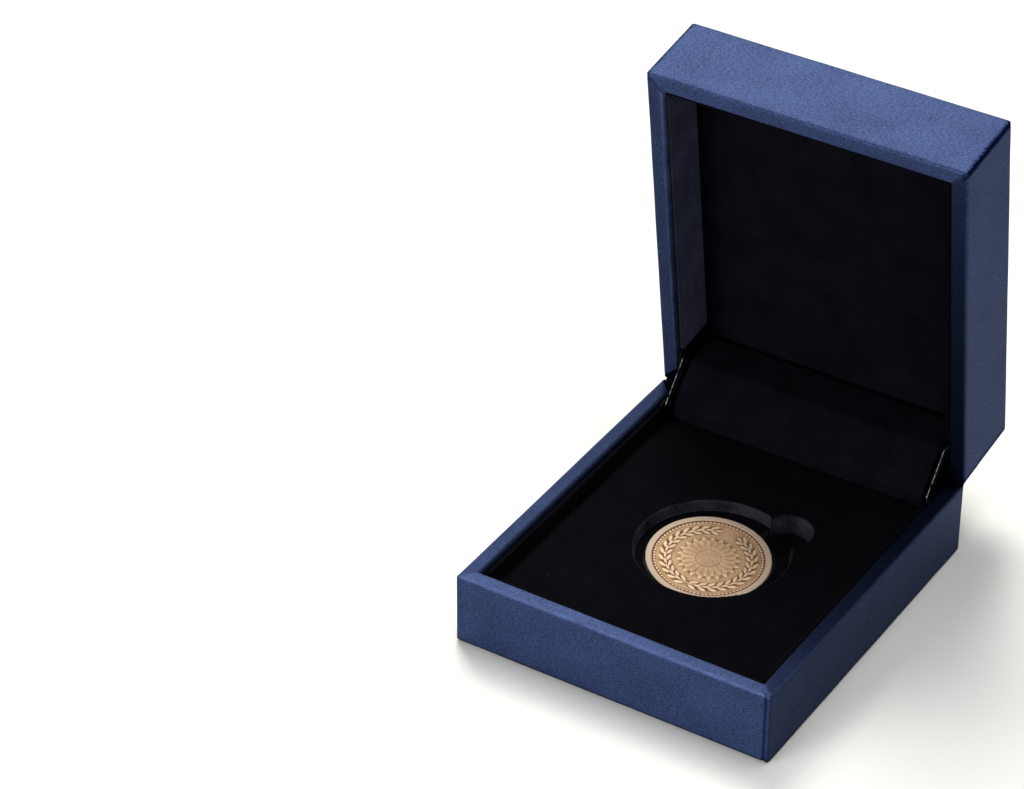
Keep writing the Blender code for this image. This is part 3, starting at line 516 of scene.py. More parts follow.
def sweepWrap(profiles, halfX, halfY, centreY, level):
    # rows follow the profile and columns follow the walls; the second profile holds along the hinge
    counts = [int(2 * half / wrap["runStep"]) for half in (halfX, halfY)]
    outer, zones = wallLoop(halfX, halfY, wrap["cornerRadius"], counts)
    shares = np.array([hingeShare(zone) for zone in zones])[:, None]
    rows = []
    for pair in zip(*profiles):
        both = []
        for inset, height in pair:
            radius = max(wrap["cornerRadius"] - inset, wrap["innerCorner"])
            flat = wallLoop(halfX - inset, halfY - inset, radius, counts)[0]
            both.append(np.column_stack([flat + (0, centreY), np.full(len(flat), level + height)]))
        rows.append(both[0] * (1 - shares) + both[1] * shares)
    steps = np.linalg.norm(np.roll(outer, -1, 0) - outer, axis=1)
    along = np.concatenate([[0], np.cumsum(steps)[:-1]])
    return np.array(rows), along, float(steps.sum()), zones


def roundCorner(kind, quarter, place, onSides):
    # mm from the middle of the nearest corner towards the wall that carries its seam
    halfArc = math.pi / 4 * wrap["cornerRadius"]
    away = place / cornerSteps * 2 * halfArc if kind == "corner" else halfArc + abs(place)
    return away if quarter % 2 == onSides else -away


def shapeWrap(rows, along, zones, profile, skinRows, seed, seams):
    # presses in the corner seams and mitres, lets the walls wave a little,
    # and marks seams, painted shade and worn folds with painted highlight
    tangents = np.roll(rows, -1, 1) - np.roll(rows, 1, 1)
    climb = np.roll(rows, -1, 0) - np.roll(rows, 1, 0)
    normals = np.cross(tangents, climb)
    normals /= np.maximum(np.linalg.norm(normals, axis=2, keepdims=True), 1e-9)
    heights = [p[1] for p in profile]
    rim, foot = (max(heights), min(heights)) if seams["onSides"] == 0 else (min(heights), max(heights))
    low, high = seams["band"]
    soft, jag = seams["soft"], seams["jag"]
    litWornAt, litWornHalf = wrap["wornLitFold"]
    waveAlong, waveUp = wrap["waveLengths"]
    pressed, darkened = wrap["mitreSteps"]
    past, (footIn, footUp) = wrap["overFold"], wrap["footFold"]
    nearest, furthest = rows[:, :, 1].min(), rows[:, :, 1].max()
    shaped = rows.copy()
    marks = {mark: np.zeros(rows.shape[:2]) for mark in ("paintedShade", "wearAndHighlight", "beside")}
    marks["seam"] = np.full(rows.shape[:2], wrap["farFromSeam"])
    for j, (kind, quarter, place) in enumerate(zones):
        turned = roundCorner(kind, quarter, place, seams["onSides"])
        corner = quarter if kind == "corner" or place > 0 else (quarter + 1) % 4
        shown = seams["corners"][corner]
        for i in skinRows:
            inset, height = profile[i]
            outside = inset < wrap["outerFace"]
            nearRim = abs(height - rim) < wrap["outerRim"]
            turnedIn = abs(height - rim) < wrap["turnIn"]
            paintedShade = sink = 0.0
            # painted shade in the pressed mitre
            if kind == "corner" and nearRim and past < inset < wrap["rimWidth"] - past:
                sink += seams["mitreDepth"] * math.exp(-(place / pressed) ** 2)
                paintedShade = seams["mitreShade"] * math.exp(-(place / darkened) ** 2)
            # beside a seam: the cloth's dark cut edge, with painted shade in the pressed seam
            elif outside and turned < high + 1:
                before = 1 - smoothStep(turned, high, high + 2 * soft)
                sink += seams["depth"] * shown * smoothStep(turned, low - soft, low) * before
                marks["seam"][i, j] = max(-wrap["farFromSeam"], (turned - low) / jag)
                marks["beside"][i, j] = seams["shade"] * shown * before * (turned > low - 4 * jag)
            if kind == "wall":
                fade = min(1.0, abs(place) / wrap["waveFade"])
                wave = noise.noise(Vector((along[j] / waveAlong, height / waveUp + inset, seed)))
                sink += wrap["waviness"] * fade * wave * (1.0 if outside else 0.5)
                patchy = 0.75 + 0.6 * noise.noise(Vector((along[j] / wrap["patchLength"], seed, 3.1)))
                # the outer fold is worn paler, with painted highlight
                if nearRim and 0.02 < inset < wrap["outerRim"]:
                    marks["wearAndHighlight"][i, j] = seams["foldWearAndHighlight"] * patchy * math.exp(
                        -((inset - litWornAt) / litWornHalf) ** 2)
                # painted highlight on the turned-in rim of the left wall
                elif turnedIn and inset > wrap["outerRim"] and quarter == 1:
                    inside = smoothStep(inset, *wrap["insideHighlight"])
                    marks["wearAndHighlight"][i, j] = seams["innerHighlight"] * patchy * inside
                # painted shade: the right rim darkens towards the hinge
                if turnedIn and inset > past and quarter == 3:
                    start, end = seams["rimShade"]
                    toHinge = (rows[i, j, 1] - nearest) / (furthest - nearest)
                    paintedShade = (start + (end - start) * toHinge) * smoothStep(inset, past, 0.5)
            # painted shade along the hinge wall and round its corners
            hinge = quarter == 0 and abs(place) < wrap["hingeReach"] if kind == "wall" else quarter < 2
            if hinge and turnedIn and inset > past:
                paintedShade = wrap["hingeShade"]
            # painted shade: a dark line along the foot
            if inset < footIn and abs(height - foot) < footUp:
                paintedShade = max(paintedShade, seams["footShade"])
            marks["paintedShade"][i, j] = paintedShade
            shaped[i, j] -= normals[i, j] * sink
    return shaped, marks


def foldedProfile(start, bends, end):
    # The skin side runs from start round each bend to end, and the glue side comes back inside it.
    # Start and end hold a point and the way inward; a bend holds its corner, that way, radius and angle.
    skin = wrap["skin"]
    skinSide, glueSide = [start[0]], []
    for corner, inward, radius, angle in bends:
        glueRadius = max(radius, skin + wrap["leastBend"])
        outer, inner = ([c + r * i for c, i in zip(corner, inward)] for r in (radius, glueRadius))
        skinSide += arcPoints(outer, radius, angle, angle - 90, wrap["arcSteps"])
        glueSide = arcPoints(inner, glueRadius - skin, angle - 90, angle, wrap["glueArcSteps"]) + glueSide
    glueEnds = [tuple(p + skin * i for p, i in zip(*place)) for place in (end, start)]
    return skinSide + [end[0]], [glueEnds[0]] + glueSide + [glueEnds[1]]


def baseProfile(foot, rim, outerRim):
    width = wrap["rimWidth"]
    return foldedProfile(
        ((wrap["turnUnder"], foot), (0, 1)),
        [((0, foot), (1, 1), wrap["footRadius"], 270),
         ((0, rim), (1, -1), outerRim, 180),
         ((width, rim), (-1, -1), wrap["innerRim"], 90)],
        ((width, rim - wrap["turnIn"]), (-1, 0)))


def lidProfile(height, cushionSeat, outerRim):
    width = wrap["rimWidth"]
    return foldedProfile(
        ((width, wrap["turnIn"]), (-1, 0)),
        [((width, 0), (-1, 1), wrap["lidInnerRim"], 0),
         ((0, 0), (1, 1), outerRim, -90),
         ((0, height), (1, -1), wrap["frameOuter"], 180),
         ((width, height), (-1, -1), wrap["frameInner"], 90)],
        ((width, cushionSeat), (-1, 0)))


def refine(profiles):
    # adds points along each straight run of the first profile, so that a wall can wave, and as many to
    # the second
    fine = [[points[0]] for points in profiles]
    for k in range(len(profiles[0]) - 1):
        pieces = max(1, round(math.dist(profiles[0][k], profiles[0][k + 1]) / wrap["wallStep"]))
        for points, done in zip(profiles, fine):
            for n in range(1, pieces + 1):
                done.append(tuple(a + (b - a) * n / pieces for a, b in zip(points[k], points[k + 1])))
    return fine


baseLow, baseHigh = cadBoxOf("base_cover")
lidLow, lidHigh = closedBox("lid_cover")
caseCentreY = (baseLow[1] + baseHigh[1]) / 2


def makeWrap(name, sides, level, body, node, seed, opens):
    # sides holds the skin and glue sides of the profile for the walls, and then for the hinge wall
    skins = refine([pair[0] for pair in sides])
    profiles = [skin + pair[1] for skin, pair in zip(skins, sides)]
    halfX, halfY = (baseHigh[0] - baseLow[0]) / 2, (baseHigh[1] - baseLow[1]) / 2
    rows, along, period, zones = sweepWrap(profiles, halfX, halfY, caseCentreY, level)
    rows, marks = shapeWrap(rows, along, zones, profiles[0], range(1, len(skins[0]) - 1), seed,
                            wrap["seams"][body])
    lengths = [math.dist(a, b) for a, b in zip(profiles[0], profiles[0][1:])]
    across = np.concatenate([[0], np.cumsum(lengths)])
    uv = [(s, v) for v in across for s in along]
    points = rows.reshape(-1, 3)
    if opens:
        points = openLid(points)
    faces = gridFaces(len(profiles[0]), len(along), closeRows=True, closeColumns=True)
    return makePiece(name, points, faces, pearlLeatherette, body, [node], uv, period,
                     marks={mark: values.ravel() for mark, values in marks.items()})


outerRims = (wrap["outerRim"], wrap["hingeRim"])
baseSides = [baseProfile(baseLow[2], baseHigh[2], radius) for radius in outerRims]
makeWrap("baseWrap", baseSides, 0.0, "base", "base_cover", 1.3, False)
cushionSeat = closedBox("cushion_cover")[0][2] - lidLow[2] - 0.1
lidSides = [lidProfile(lidHigh[2] - lidLow[2], cushionSeat, radius) for radius in outerRims]
makeWrap("lidWrap", lidSides, lidLow[2], "lid", "lid_cover", 4.7, True)
print("wraps ready")


# Velvet covered cards and panels are blocks with rounded edges and a slightly uneven pile.
velvetCards = {
    "edge": 0.42,        # mm, the pile rounds an edge this much
    "step": 1.3,         # mm between points
    "edgeSteps": 4,
    "uneven": 0.0175,    # mm
    "unevenSize": 4.0,
    "flat": 0.01,        # mm of every side that stays flat
}


def axisStops(low, high):
    # places along one side of a block, close together where its edge is rounded
    values = velvetCards
    radius = min(values["edge"], (high - low) / 2 - values["flat"])
    turns = [math.pi / 2 * k / values["edgeSteps"] for k in range(values["edgeSteps"])]
    curve = [radius * (1 - math.cos(turn)) for turn in turns]
    count = max(1, round((high - low - 2 * radius) / values["step"]))
    middle = [low + radius + (high - low - 2 * radius) * k / count for k in range(count + 1)]
    return [low + c for c in curve] + middle + [high - c for c in reversed(curve)]


def roundedBlock(low, high):
    # the skin of a block with rounded edges: points, outward normals and faces
    stops = [axisStops(low[k], high[k]) for k in range(3)]
    radii = np.minimum(velvetCards["edge"], (high - low) / 2 - velvetCards["flat"])
    index, points, faces = {}, [], []

    def corner(key):
        if key not in index:
            index[key] = len(points)
            points.append([stops[k][key[k]] for k in range(3)])
        return index[key]

    for axis in range(3):
        across, along = (axis + 1) % 3, (axis + 2) % 3
        for end in (0, len(stops[axis]) - 1):
            for i in range(len(stops[across]) - 1):
                for j in range(len(stops[along]) - 1):
                    ring = []
                    for di, dj in ((0, 0), (1, 0), (1, 1), (0, 1)):
                        key = [0, 0, 0]
                        key[axis], key[across], key[along] = end, i + di, j + dj
                        ring.append(corner(tuple(key)))
                    faces.append(tuple(ring if end else reversed(ring)))
    points = np.array(points)
    inner = np.clip(points, low + radii, high - radii)
    out = points - inner
    out /= np.maximum(np.linalg.norm(out / radii, axis=1, keepdims=True), 1e-9)
    normals = out / radii
    normals /= np.maximum(np.linalg.norm(normals, axis=1, keepdims=True), 1e-9)
    return inner + out, normals, faces


def makeVelvetCard(name, node, body, seed, opens, finish=blackVelvet):
    low, high = closedBox(node) if opens else cadBoxOf(node)
    points, normals, faces = roundedBlock(low, high)
    points -= normals * (velvetCards["uneven"] * ripple(points, velvetCards["unevenSize"], seed))[:, None]
    if opens:
        points = openLid(points)
    return makePiece(name, points, faces, finish, body, [node])


for side, seed in (("front", 2.0), ("left", 5.0), ("right", 8.0)):
    makeVelvetCard(f"baseLiner{side.title()}", f"base_liner_{side}", "base", seed, False)
    card = makeVelvetCard(f"lidLiner{side.title()}", f"lid_liner_{side}", "lid", seed + 20, True,
                          paintedLitVelvet if side == "left" else blackVelvet)
    if side == "left":
        # painted light: the card's face is drawn paler, as where light falls on it, and its edges less pale
        card.data.materials.append(paintedLitEdgeVelvet)
        for polygon in card.data.polygons:
            polygon.material_index = int(abs(polygon.normal.x) < 0.9)
makeVelvetCard("lidLining", "lid_lining_panel", "lid", 31.0, True, liningVelvet)
print("velvet cards ready")


# The insert: velvet stretched over foam, pressed into a seat, a wider well and a finger notch.
insert = {
    "seatCentre": (-0.09, -1.69),
    "seatLean": (2.7, 3.0),    # degrees about X and Y, as the coin lies
    "seatRadius": 13.42,
    "seatRoll": 0.5,
    "seatEnds": 15,            # mm from its middle where the seat's own shape ends
    "seatDepth": 4.62,
    "wellCentre": (0.2, -0.8),
    "wellRadius": 16.4,
    "wellRoll": 0.8,
    "wellDepth": 2.6,
    "notchRadius": 5.4,
    "notchRoll": 0.8,
    "notchCentre": (10.5, 12.6),
    "edge": 1.2,
    "around": 600,
    "borderRings": 13,
    "edgeRings": 5,
    # mm from the middle: rings inside the seat, close rings over its wall and closer ones over the well's
    "innerRings": (0.5, 6.0, 11.0, 12.4),
    "seatRings": (12.9, 15.9, 0.17),
    "wellRings": (15.9, 23.5, 0.15),
    "ringShift": (14.3, 1.6),  # mm where the rings start to pass over to the well, and over how many
    "wallWidth": 0.3,          # mm across a hollow's steep wall
    "blend": 0.5,              # mm over which two hollows run into each other
    "uneven": 0.05,
    "unevenSizes": (9.0, 2.2),  # mm, long waves and short ones
    "shortShare": 0.4,
    "nap": 0.04,               # mm that the pile lies under the block's top
    "squareness": 26.0,        # the power that rounds the block's corners
    # the pile that stands up against the low side of the coin
    "lipHeight": 0.75,
    "lipRadius": 13.95,
    "lipWidth": 0.5,
    "lipTowards": -58,         # degrees round the seat
    "lipSpread": 27,
    "lipUneven": 0.35,
    "lipTuft": 0.45,           # mm
}


def hollowDrop(distance, radius, depth, roll):
    # how far a round hollow sinks the velvet: a rolled rim, then a steep wall to a flat floor
    wall = eased(np.clip((radius - distance) / insert["wallWidth"] + 0.5, 0, 1))
    across = np.clip((distance - radius) / roll, 0, 1)
    rim = roll * 0.9 * (1 - np.sqrt(np.clip(1 - (1 - across) ** 2, 0, 1)))
    return rim * (1 - wall) + depth * wall


def softMax(a, b, width):
    share = np.clip(0.5 + 0.5 * (a - b) / width, 0, 1)
    return a * share + b * (1 - share) + width * 0.5 * share * (1 - share)


def insertRings(low, high):
    # rings round the seat that pass over into rings round the well, then out to the block's rounded border
    values = insert
    seat, well = np.array(values["seatCentre"]), np.array(values["wellCentre"])
    angles = np.linspace(0, 2 * math.pi, values["around"], endpoint=False)
    direction = np.column_stack([np.cos(angles), np.sin(angles)])
    stops = np.concatenate([
        values["innerRings"], np.arange(*values["seatRings"]), np.arange(*values["wellRings"])])
    shiftFrom, shiftOver = values["ringShift"]
    rows = []
    for stop in stops:
        share = min(1.0, max(0.0, (stop - shiftFrom) / shiftOver))
        rows.append(seat + (well - seat) * share + direction * stop)
    roomX = np.where(direction[:, 0] > 0, high[0] - well[0], well[0] - low[0])
    roomY = np.where(direction[:, 1] > 0, high[1] - well[1], well[1] - low[1])
    power = values["squareness"]
    across = (np.abs(direction[:, 0]) / roomX) ** power + (np.abs(direction[:, 1]) / roomY) ** power
    reach = across ** (-1 / power)
    last, edge = stops[-1], values["edge"]
    for share in np.linspace(0, 1, values["borderRings"] + 1)[1:]:
        rows.append(well + direction * (last + (reach - edge - last) * share)[:, None])
    sunk = [np.zeros(len(angles)) for _ in rows]
    for k in range(1, values["edgeRings"] + 1):
        turn = math.pi / 2 * k / values["edgeRings"]
        rows.append(well + direction * (reach - edge * (1 - math.sin(turn)))[:, None])
        sunk.append(np.full(len(angles), edge * (1 - math.cos(turn))))
    rows.append(rows[-1])
    sunk.append(np.full(len(angles), high[2] - low[2]))
    return np.array(rows), np.concatenate(sunk), np.tile(reach, len(rows))


def insertDrop(flat):
    # how far the velvet lies under the block's top at each point
    values = insert
    fromSeat = np.linalg.norm(flat - values["seatCentre"], axis=1)
    fromWell = np.linalg.norm(flat - values["wellCentre"], axis=1)
    fromNotch = np.linalg.norm(flat - values["notchCentre"], axis=1)
    well = hollowDrop(fromWell, values["wellRadius"], values["wellDepth"], values["wellRoll"])
    notch = hollowDrop(fromNotch, values["notchRadius"], values["seatDepth"], values["notchRoll"])
    leanX, leanY = (math.tan(math.radians(a)) for a in values["seatLean"])
    away = flat - values["seatCentre"]
    seatDrop = values["seatDepth"] - leanX * away[:, 1] + leanY * away[:, 0]
    seat = np.where(fromSeat < values["seatRadius"] + values["seatRoll"], values["wellDepth"], 0)
    seat = seat + hollowDrop(fromSeat, values["seatRadius"], seatDrop - values["wellDepth"],
                             values["seatRoll"])
    drop = softMax(softMax(well, notch, values["blend"]), seat * (fromSeat < values["seatEnds"]), 0.1)
    angle = np.degrees(np.arctan2(away[:, 1], away[:, 0])) - values["lipTowards"]
    side = np.exp(-(angle / values["lipSpread"]) ** 4)
    level = np.column_stack([flat, np.zeros(len(flat))])
    fringe = 1 + values["lipUneven"] * ripple(level, values["lipTuft"], 5.0)
    lip = values["lipHeight"] * side * fringe
    lip *= np.exp(-((fromSeat - values["lipRadius"]) / values["lipWidth"]) ** 2)
    return drop - lip * (fromSeat > values["seatRadius"] - 0.1), fromWell


def makeInsert():
    values = insert
    low, high = cadBoxOf("insert_velvet")
    rings, sunk, reach = insertRings(low, high)
    flat = rings.reshape(-1, 2)
    drop, fromWell = insertDrop(flat)
    points = np.column_stack([flat, high[2] - drop - sunk])
    border = np.clip((reach - fromWell) / 3, 0, 1)
    long, short = values["unevenSizes"]
    waves = ripple(points, long, 3.0) + values["shortShare"] * ripple(points, short, 7.0)
    points[:, 2] += values["uneven"] * waves * border - values["nap"]
    grid = points.reshape(*rings.shape[:2], 3)
    # how steeply the velvet runs, which pales it: the pile's sides, with painted sheen
    slope = np.abs(np.gradient(grid[:, :, 2], axis=0))
    run = np.linalg.norm(np.gradient(grid[:, :, :2], axis=0), axis=2)
    nap = np.clip(slope / np.maximum(run, 1e-3) - 0.25, 0, 1)
    nap[-values["edgeRings"] - 2:] = 0
    faces = gridFaces(*rings.shape[:2], closeColumns=True)
    faces.append(tuple(reversed(range(values["around"]))))
    return makePiece("velvetInsert", points, faces, blackVelvet, "base",
                     ["insert_velvet", "insert_foam"], marks={"nap": nap.ravel()})


makeInsert()
print("insert ready")


# The two soft joints at the back: velvet inside and leatherette outside.
hingeCloth = {
    "flapReach": (8.0, 10.6),     # mm glued down in the base and in the lid
    "flapAway": 6.05,             # mm from the hinge line to the middle of the velvet
    "flapTurn": 1.6,
    "flapBulge": 3.85,
    "flapThick": 0.6,
    # mm from the middle: where it starts to pass behind the stays, where it does so, and where it ends
    "flapEars": (30.35, 30.62, 31.9),
    "earsAway": 3.85,
    "earsTurn": 1.2,
    "earsBulge": 2.6,
    "stripReach": (7.0, 7.0),
    "stripAway": 0.5,
    "stripTurn": 1.3,
    "stripThick": 0.4,
    "endShade": 0.97,
}


def throughPoint(start, middle, end, steps):
    control = 2 * middle - (start + end) / 2
    shares = np.linspace(0, 1, steps + 1)[:, None]
    return (1 - shares) ** 2 * start + 2 * shares * (1 - shares) * control + shares ** 2 * end


def lineUp(path, count):
    # evenly spaced points along a path
    lengths = np.concatenate([[0], np.cumsum(np.linalg.norm(np.diff(path, axis=0), axis=1))])
    places = np.linspace(0, lengths[-1], count + 1)
    return np.column_stack([np.interp(places, lengths, path[:, k]) for k in range(2)]), lengths[-1]


def makeHingeCloth(name, node, paths, thick, finish, step, seed, wave, xs, shares):
    # a sheet with round edges that follows the first path, and the second one where its share is 1
    count = max(2, int(lineUp(paths[0], 2)[1] / step))
    lines = [lineUp(path, count) for path in paths]
    normals = []
    for line, _ in lines:
        along = np.gradient(line, axis=0)
        along /= np.linalg.norm(along, axis=1, keepdims=True)
        normals.append(np.column_stack([-along[:, 1], along[:, 0]]))
    edge = arcPoints((0, 0), thick / 2, 90, -90, 4)[1:-1]
    section = [(x, thick / 2, s) for x, s in zip(xs, shares)]
    section += [(xs[-1] + a, b, shares[-1]) for a, b in edge]
    section += [(x, -thick / 2, s) for x, s in zip(reversed(xs), reversed(shares))]
    section += [(xs[0] - a, -b, shares[0]) for a, b in edge]
    points = []
    for k in range(count + 1):
        for x, lift, share in section:
            bend = wave * (1 - share) * noise.noise(Vector((x / 9, k * step / 6, seed)))
            lift *= 1 - 0.5 * share
            offset = lift + bend * math.sin(math.pi * k / count)
            spots = [line[k] + normal[k] * offset for (line, _), normal in zip(lines, normals)]
            y, z = spots[0] * (1 - share) + spots[-1] * share
            points.append((x, y + hingeLine[1], z + hingeLine[2]))
    columns = len(section)
    faces = gridFaces(count + 1, columns, closeColumns=True)
    faces += [tuple(reversed(range(columns))), tuple(range(count * columns, (count + 1) * columns))]
    uv = [(x, k * step) for k in range(count + 1) for x, _, _ in section]
    # its inner side lies in the dark at the ends, where it shows between the two halves
    last = xs[-1]
    shade = [hingeCloth["endShade"] * smoothStep(abs(x), last - 7, last - 4) * smoothStep(lift, -0.1, 0.0)
             for x, lift, _ in section]
    piece = makePiece(name, points, faces, finish, "base", [node], uv, ride=False,
                      marks={"paintedShade": shade * (count + 1)})
    return piece, lines[0][1]


def opened(y, z):
    return np.array([y * math.cos(openAngle) + z * math.sin(openAngle),
                     -y * math.sin(openAngle) + z * math.cos(openAngle)])


def clothPath(away, turn, reach, middle, steps):
    # straight down into the base, round the hinge line, and straight up the opened lid
    low, high = np.array([away, -turn]), opened(away, turn)
    curve = throughPoint(low, middle(low, high), high, steps)
    return np.vstack([[away, -reach[0]], curve, opened(away, reach[1])]), low, high


def makeFlap():
    values = hingeCloth
    bisector = openAngle / 2
    towards = np.array([-math.cos(bisector), math.sin(bisector)])
    main, low, high = clothPath(-values["flapAway"], values["flapTurn"], values["flapReach"],
                                lambda *ends: values["flapBulge"] * towards, 24)
    side = clothPath(-values["earsAway"], values["earsTurn"], values["flapReach"],
                     lambda *ends: values["earsBulge"] * towards, 24)[0]
    start, done, end = values["flapEars"]
    half = list(np.linspace(0, start, 56)) + [start + (done - start) * k / 4 for k in range(1, 5)]
    half += [(done + end) / 2, end - values["flapThick"] / 2]
    xs = [-x for x in reversed(half[1:])] + half
    shares = [smoothStep(abs(x), start, done) for x in xs]
    flap, length = makeHingeCloth("hingeFlap", "hinge_flap", [main, side], values["flapThick"],
                                  liningVelvet, 0.55, 12.0, 0.12, xs, shares)
    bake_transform(flap)


def makeStrip():
    values = hingeCloth
    corner = np.array([values["stripAway"], -values["stripAway"] * math.tan(openAngle / 2)])
    path, low, high = clothPath(values["stripAway"], values["stripTurn"], values["stripReach"],
                                lambda low, high: (low + 2 * corner + high) / 4, 16)
    end = cadBoxOf("hinge_strip")[1][0]
    reach = end - values["stripThick"] / 2
    xs = list(np.linspace(-reach, reach, 150))
    strip, length = makeHingeCloth("hingeStrip", "hinge_strip", [path], values["stripThick"],
                                   pearlLeatherette, 0.5, 17.0, 0.0, xs, [0.0] * len(xs))
    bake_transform(strip)


makeFlap()
makeStrip()
print("hinge cloth ready")


# The cushion let into the lid.
cushion = {
    "crown": 0.72,          # mm above the frame before the cover is blown up
    "edgeDrop": 1.75,       # mm below it, where the cover goes down beside the frame
    "corner": 1.6,
    "power": 3.0,
    "shoulder": 0.60,
    "columns": 84,
    "rows": 96,
    "pucker": 0.07,
    "puckerEvery": 4.2,     # mm between the gathers that the glued edge leaves
    "puckerReach": 2.4,     # mm over which they run out
    "lumps": 0.05,
    "lumpSize": 16,
    # the cover's cloth simulation, run ten times larger because cloth this small stays stiff
    "simScale": 10.0,
    "simFrames": 20,
    "pressure": 4.0,
    "grow": 0.012,
    "farthest": 0.35,       # mm that a point may move
}


def blowUp(points, faces, pinned):
    # how far each point moves in millimetres when the glued cover is filled with pressure
    values = cushion
    scale = values["simScale"]
    mesh = bpy.data.meshes.new("coverCloth")
    mesh.from_pydata((np.array(points) * mm * scale).tolist(), [], faces)
    cloth = addObject("coverCloth", mesh)
    scene = bpy.context.scene
    cloth.vertex_groups.new(name="glued").add([int(k) for k in pinned], 1.0, "REPLACE")
    modifier = cloth.modifiers.new("Cloth", "CLOTH")
    settings = modifier.settings
    settings.quality = 5
    settings.vertex_group_mass = "glued"
    settings.use_pressure = True
    settings.uniform_pressure_force = values["pressure"]
    settings.shrink_min = -values["grow"]
    settings.effector_weights.gravity = 0.0
    modifier.point_cache.frame_start, modifier.point_cache.frame_end = 1, values["simFrames"]
    for frameNumber in range(1, values["simFrames"] + 1):
        scene.frame_set(frameNumber)
    settled = cloth.evaluated_get(bpy.context.evaluated_depsgraph_get()).data
    ends = np.empty(len(settled.vertices) * 3)
    settled.vertices.foreach_get("co", ends)
    scene.frame_set(1)
    bpy.data.objects.remove(cloth)
    bpy.data.meshes.remove(mesh)
    moves = ends.reshape(-1, 3) / mm / scale - np.array(points)
    lengths = np.linalg.norm(moves, axis=1, keepdims=True)
    return moves * np.minimum(1, values["farthest"] / np.maximum(lengths, 1e-9))


def makeCushion():
    values = cushion
    low, high = closedBox("cushion_cover")
    frameTop = lidHigh[2]
    centre = (low + high) / 2
    halfX, halfY = (high[0] - low[0]) / 2, (high[1] - low[1]) / 2
    columns, rows = values["columns"] + 1, values["rows"] + 1
    u, v = (np.sin(np.linspace(-math.pi / 2, math.pi / 2, count)) for count in (columns, rows))
    points, uv = [], []
    edge, crown = frameTop - values["edgeDrop"], frameTop + values["crown"]
    for b in v:
        for a in u:
            x, y = a * halfX, b * halfY
            # corners of the grid are drawn in onto a rounded corner
            overX = max(0.0, abs(x) - (halfX - values["corner"]))
            overY = max(0.0, abs(y) - (halfY - values["corner"]))
            if overX > 0 and overY > 0:
                pull = max(overX, overY) / math.hypot(overX, overY)
                x -= math.copysign(overX * (1 - pull), x)
                y -= math.copysign(overY * (1 - pull), y)
            across = max(0.0, 1 - abs(x / halfX) ** values["power"])
            along = max(0.0, 1 - abs(y / halfY) ** values["power"])
            rise = (across * along) ** values["shoulder"]
            height = edge + (crown - edge) * rise
            border = min(halfX - abs(x), halfY - abs(y))
            near = math.exp(-border / values["puckerReach"])
            place = y if halfX - abs(x) < halfY - abs(y) else x
            gather = noise.noise(Vector((place / values["puckerEvery"], border / 6, 9.0)))
            height += values["pucker"] * near * gather * min(1.0, border / 0.8)
            lump = noise.noise(Vector((x / values["lumpSize"], y / values["lumpSize"], 2.0)))
            height += values["lumps"] * lump * rise
            points.append((x + centre[0], y + centre[1], height))
            uv.append((x, y))
    faces = gridFaces(rows, columns)
    border = list(range(columns)) + [i * columns + columns - 1 for i in range(1, rows)]
    border += [(rows - 1) * columns + j for j in range(columns - 2, -1, -1)]
    border += [i * columns for i in range(rows - 2, 0, -1)]
    ring = border
    for depth in (0.5, 1.2, edge - low[2]):
        start = len(points)
        for k in border:
            x, y, z = points[k]
            points.append((x, y, z - depth))
            flatX, flatY = uv[k]
            uv.append((flatX, flatY - depth if abs(flatY) < abs(flatX) else flatY + depth))
        below = list(range(start, start + len(border)))
        for k in range(len(border)):
            following = (k + 1) % len(border)
            faces.append((ring[k], below[k], below[following], ring[following]))
        ring = below
    faces.append(tuple(reversed(ring)))
    points = np.array(points)
    moves = blowUp(points, faces, border + list(range(rows * columns, len(points))))
    print("cushion cover moved at most", round(float(np.abs(moves).max()), 3), "mm")
    points += moves
    points[:, 2] = np.minimum(points[:, 2], high[2] - 0.02)
    nodes = ["cushion_cover", "cushion_foam", "cushion_card"]
    return makePiece("lidCushion", openLid(points), faces, pearlLeatherette, "lid",
                     nodes, uv)


makeCushion()
print("cushion ready")


# The coin: a struck relief worked out on rings, with a sunflower inside a laurel wreath.
coinRelief = {
    "radius": 13.25,
    "thick": 2.0,
    "rimWidth": 1.3,
    "edgeRadius": 0.24,
    "field": 0.20,           # mm below the rim
    "relief": 0.10,          # mm that the motifs stand over the field
    "around": 600,
    "ringStep": 0.095,
    "beadRadius": 11.42,
    "beads": 84,
    "beadSize": 0.27,
    "wreathRadius": 9.1,
    "leafPairs": 13,
    "branch": (9, 150),      # degrees from the foot where a branch starts, and that it covers
    # rows of leaves: mm out from the stem, degrees of tilt, length, width, and turn in radians
    "leafRows": ((0.78, 26, 2.1, 0.82, 0.0), (-0.78, -26, 2.1, 0.82, 0.0), (0.0, 0, 1.7, 0.62, 0.09)),
    "leafVein": (0.28, 0.07),      # how deep, and its half width in mm
    "stem": (0.55, 0.11, 160),     # how high, its half width in mm, and degrees from the foot to its end
    "petals": 21,
    # rings of petals: how far they reach, width, height and shift round in shares of a petal
    "petalRings": ((6.2, 1.75, 0.55, 0.0), (5.2, 1.5, 0.8, 0.5)),
    "seedDisc": 2.9,
    "seeds": 150,
    "seedSize": 0.15,
    # where a point counts as hollow: rings and steps round it that are looked at, and mm under their mean
    "hollowReach": (4, 9),
    "hollowDepth": 0.10,
    "edgeFoot": 0.26,        # mm above the back, where the edge's straight part ends
    "backField": 0.18,       # mm that the plain back lies in from its rim
}


def lens(u, v, length, width):
    # a leaf: 1 along its middle, 0 outside its edge
    inside = np.clip(1 - (u / (length / 2)) ** 2, 0, None)
    half = width / 2 * inside ** 0.75
    return np.clip(1 - (v / np.maximum(half, 1e-6)) ** 2, 0, 1) * (inside > 0)


